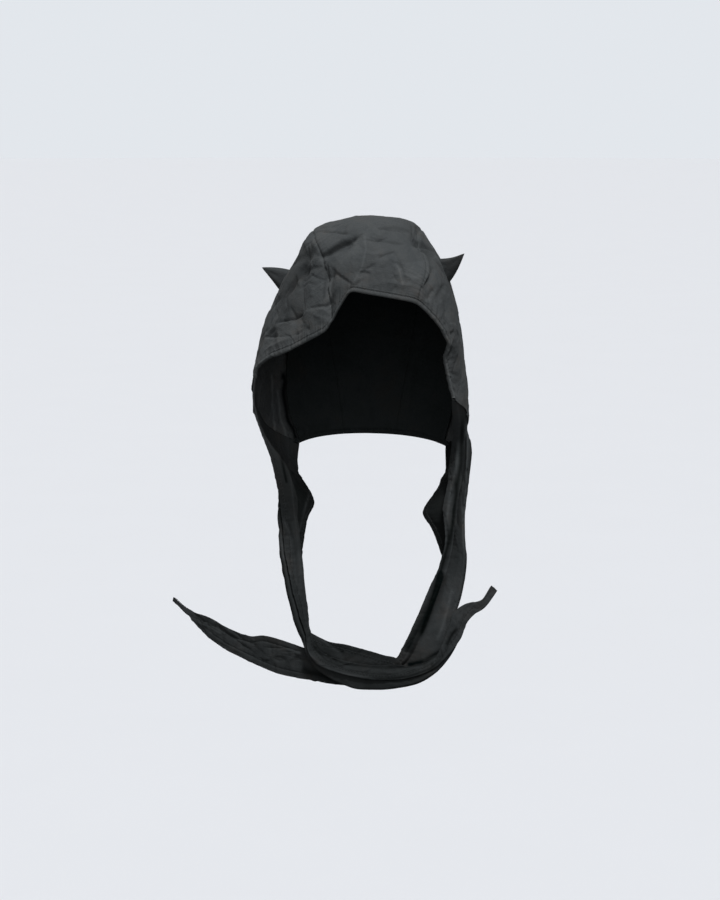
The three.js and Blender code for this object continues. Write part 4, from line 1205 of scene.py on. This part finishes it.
# Stage
def make_camera():
    data = bpy.data.cameras.new("camera")
    data.sensor_width = SENSOR_WIDTH
    data.lens = FOCAL_PIXELS * SENSOR_WIDTH / PHOTO_HEIGHT
    data.clip_start = CLIP_START
    data.clip_end = CLIP_END
    camera = bpy.data.objects.new("camera", data)
    bpy.context.collection.objects.link(camera)
    back, right, up = camera_axes()
    where = (np.array(VIEW_CENTRE) + VIEW_DISTANCE * back) * METRE
    rows = [[right[k], up[k], back[k], where[k]] for k in range(3)] + [[0, 0, 0, 1]]
    camera.matrix_world = Matrix(rows)
    bpy.context.scene.camera = camera


def make_lights():
    for light in LIGHTS:
        data = bpy.data.lights.new(light["name"], "SUN")
        data.energy = light["energy"]
        data.color = light["colour"]
        data.angle = math.radians(light["size"])
        lamp = bpy.data.objects.new(light["name"], data)
        bpy.context.collection.objects.link(lamp)
        lamp.location = light["place"]
        lamp.rotation_euler = (-Vector(light["place"])).to_track_quat("-Z", "Y").to_euler()


def make_world():
    world = bpy.data.worlds.new("studio")
    bpy.context.scene.world = world
    world.use_nodes = True
    tree = world.node_tree
    tree.nodes.clear()
    out = tree.nodes.new("ShaderNodeOutputWorld")
    seen = tree.nodes.new("ShaderNodeBackground")
    seen.inputs["Color"].default_value = (*BACKDROP, 1)
    glow = tree.nodes.new("ShaderNodeBackground")
    glow.inputs["Color"].default_value = (*AMBIENT, 1)
    glow.inputs["Strength"].default_value = AMBIENT_STRENGTH
    path = tree.nodes.new("ShaderNodeLightPath")
    mix = tree.nodes.new("ShaderNodeMixShader")
    tree.links.new(path.outputs["Is Camera Ray"], mix.inputs["Fac"])
    tree.links.new(glow.outputs["Background"], mix.inputs[1])
    tree.links.new(seen.outputs["Background"], mix.inputs[2])
    tree.links.new(mix.outputs["Shader"], out.inputs["Surface"])


def make_floor():
    bpy.ops.mesh.primitive_circle_add(vertices=FLOOR_SIDES, radius=FLOOR_RADIUS, fill_type="NGON",
                                      location=(0, 0, FLOOR_HEIGHT))
    floor = bpy.context.active_object
    floor.name = "floor"
    floor.data.materials.append(floor_material())
    floor.visible_diffuse = False
    floor.visible_glossy = False


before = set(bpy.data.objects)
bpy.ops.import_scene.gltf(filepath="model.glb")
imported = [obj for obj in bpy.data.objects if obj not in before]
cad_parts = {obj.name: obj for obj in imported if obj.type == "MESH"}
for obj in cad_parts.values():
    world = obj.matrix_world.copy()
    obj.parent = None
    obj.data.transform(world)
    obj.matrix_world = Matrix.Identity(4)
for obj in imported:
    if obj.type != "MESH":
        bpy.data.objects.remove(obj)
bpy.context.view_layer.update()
make_camera()
make_world()
make_lights()
make_floor()
SHELL, LINING, HORN, SCARF = [cloth_material(cloth) for cloth in CLOTHS]

hood_panel("shell_centre", "hood_centre_panel", left_seam, right_seam)
hood_panel("shell_left", "hood_left_panel", hood_side(-1.0), left_seam)
hood_panel("shell_right", "hood_right_panel", right_seam, hood_side(1.0))
lining_panel("inner_centre", "lining_centre", left_seam, right_seam)
lining_panel("inner_left", "lining_left", lining_side(-1), left_seam)
lining_panel("inner_right", "lining_right", right_seam, lining_side(1))
hem_band("face_edge", "face_hem", True, SHELL)
hem_band("nape_edge", "nape_hem", False, LINING)
hem_stitches("face_stitches", True, FACE_STITCH_HEIGHT, SHELL)
hem_stitches("nape_stitches", False, NAPE_STITCH_HEIGHT, LINING)
for horn_row in HORNS:
    horn_piece(horn_row)
scarf_piece("tail_left", "scarf_left", LEFT_SCARF, -1, LEFT_CREASES, LEFT_CRUMPLE, LEFT_PAINTED_SHADE)
scarf_piece("tail_right", "scarf_right", RIGHT_SCARF, 1, RIGHT_CREASES, RIGHT_CRUMPLE, RIGHT_PAINTED_SHADE)

bpy.context.scene.view_settings.view_transform = "Standard"
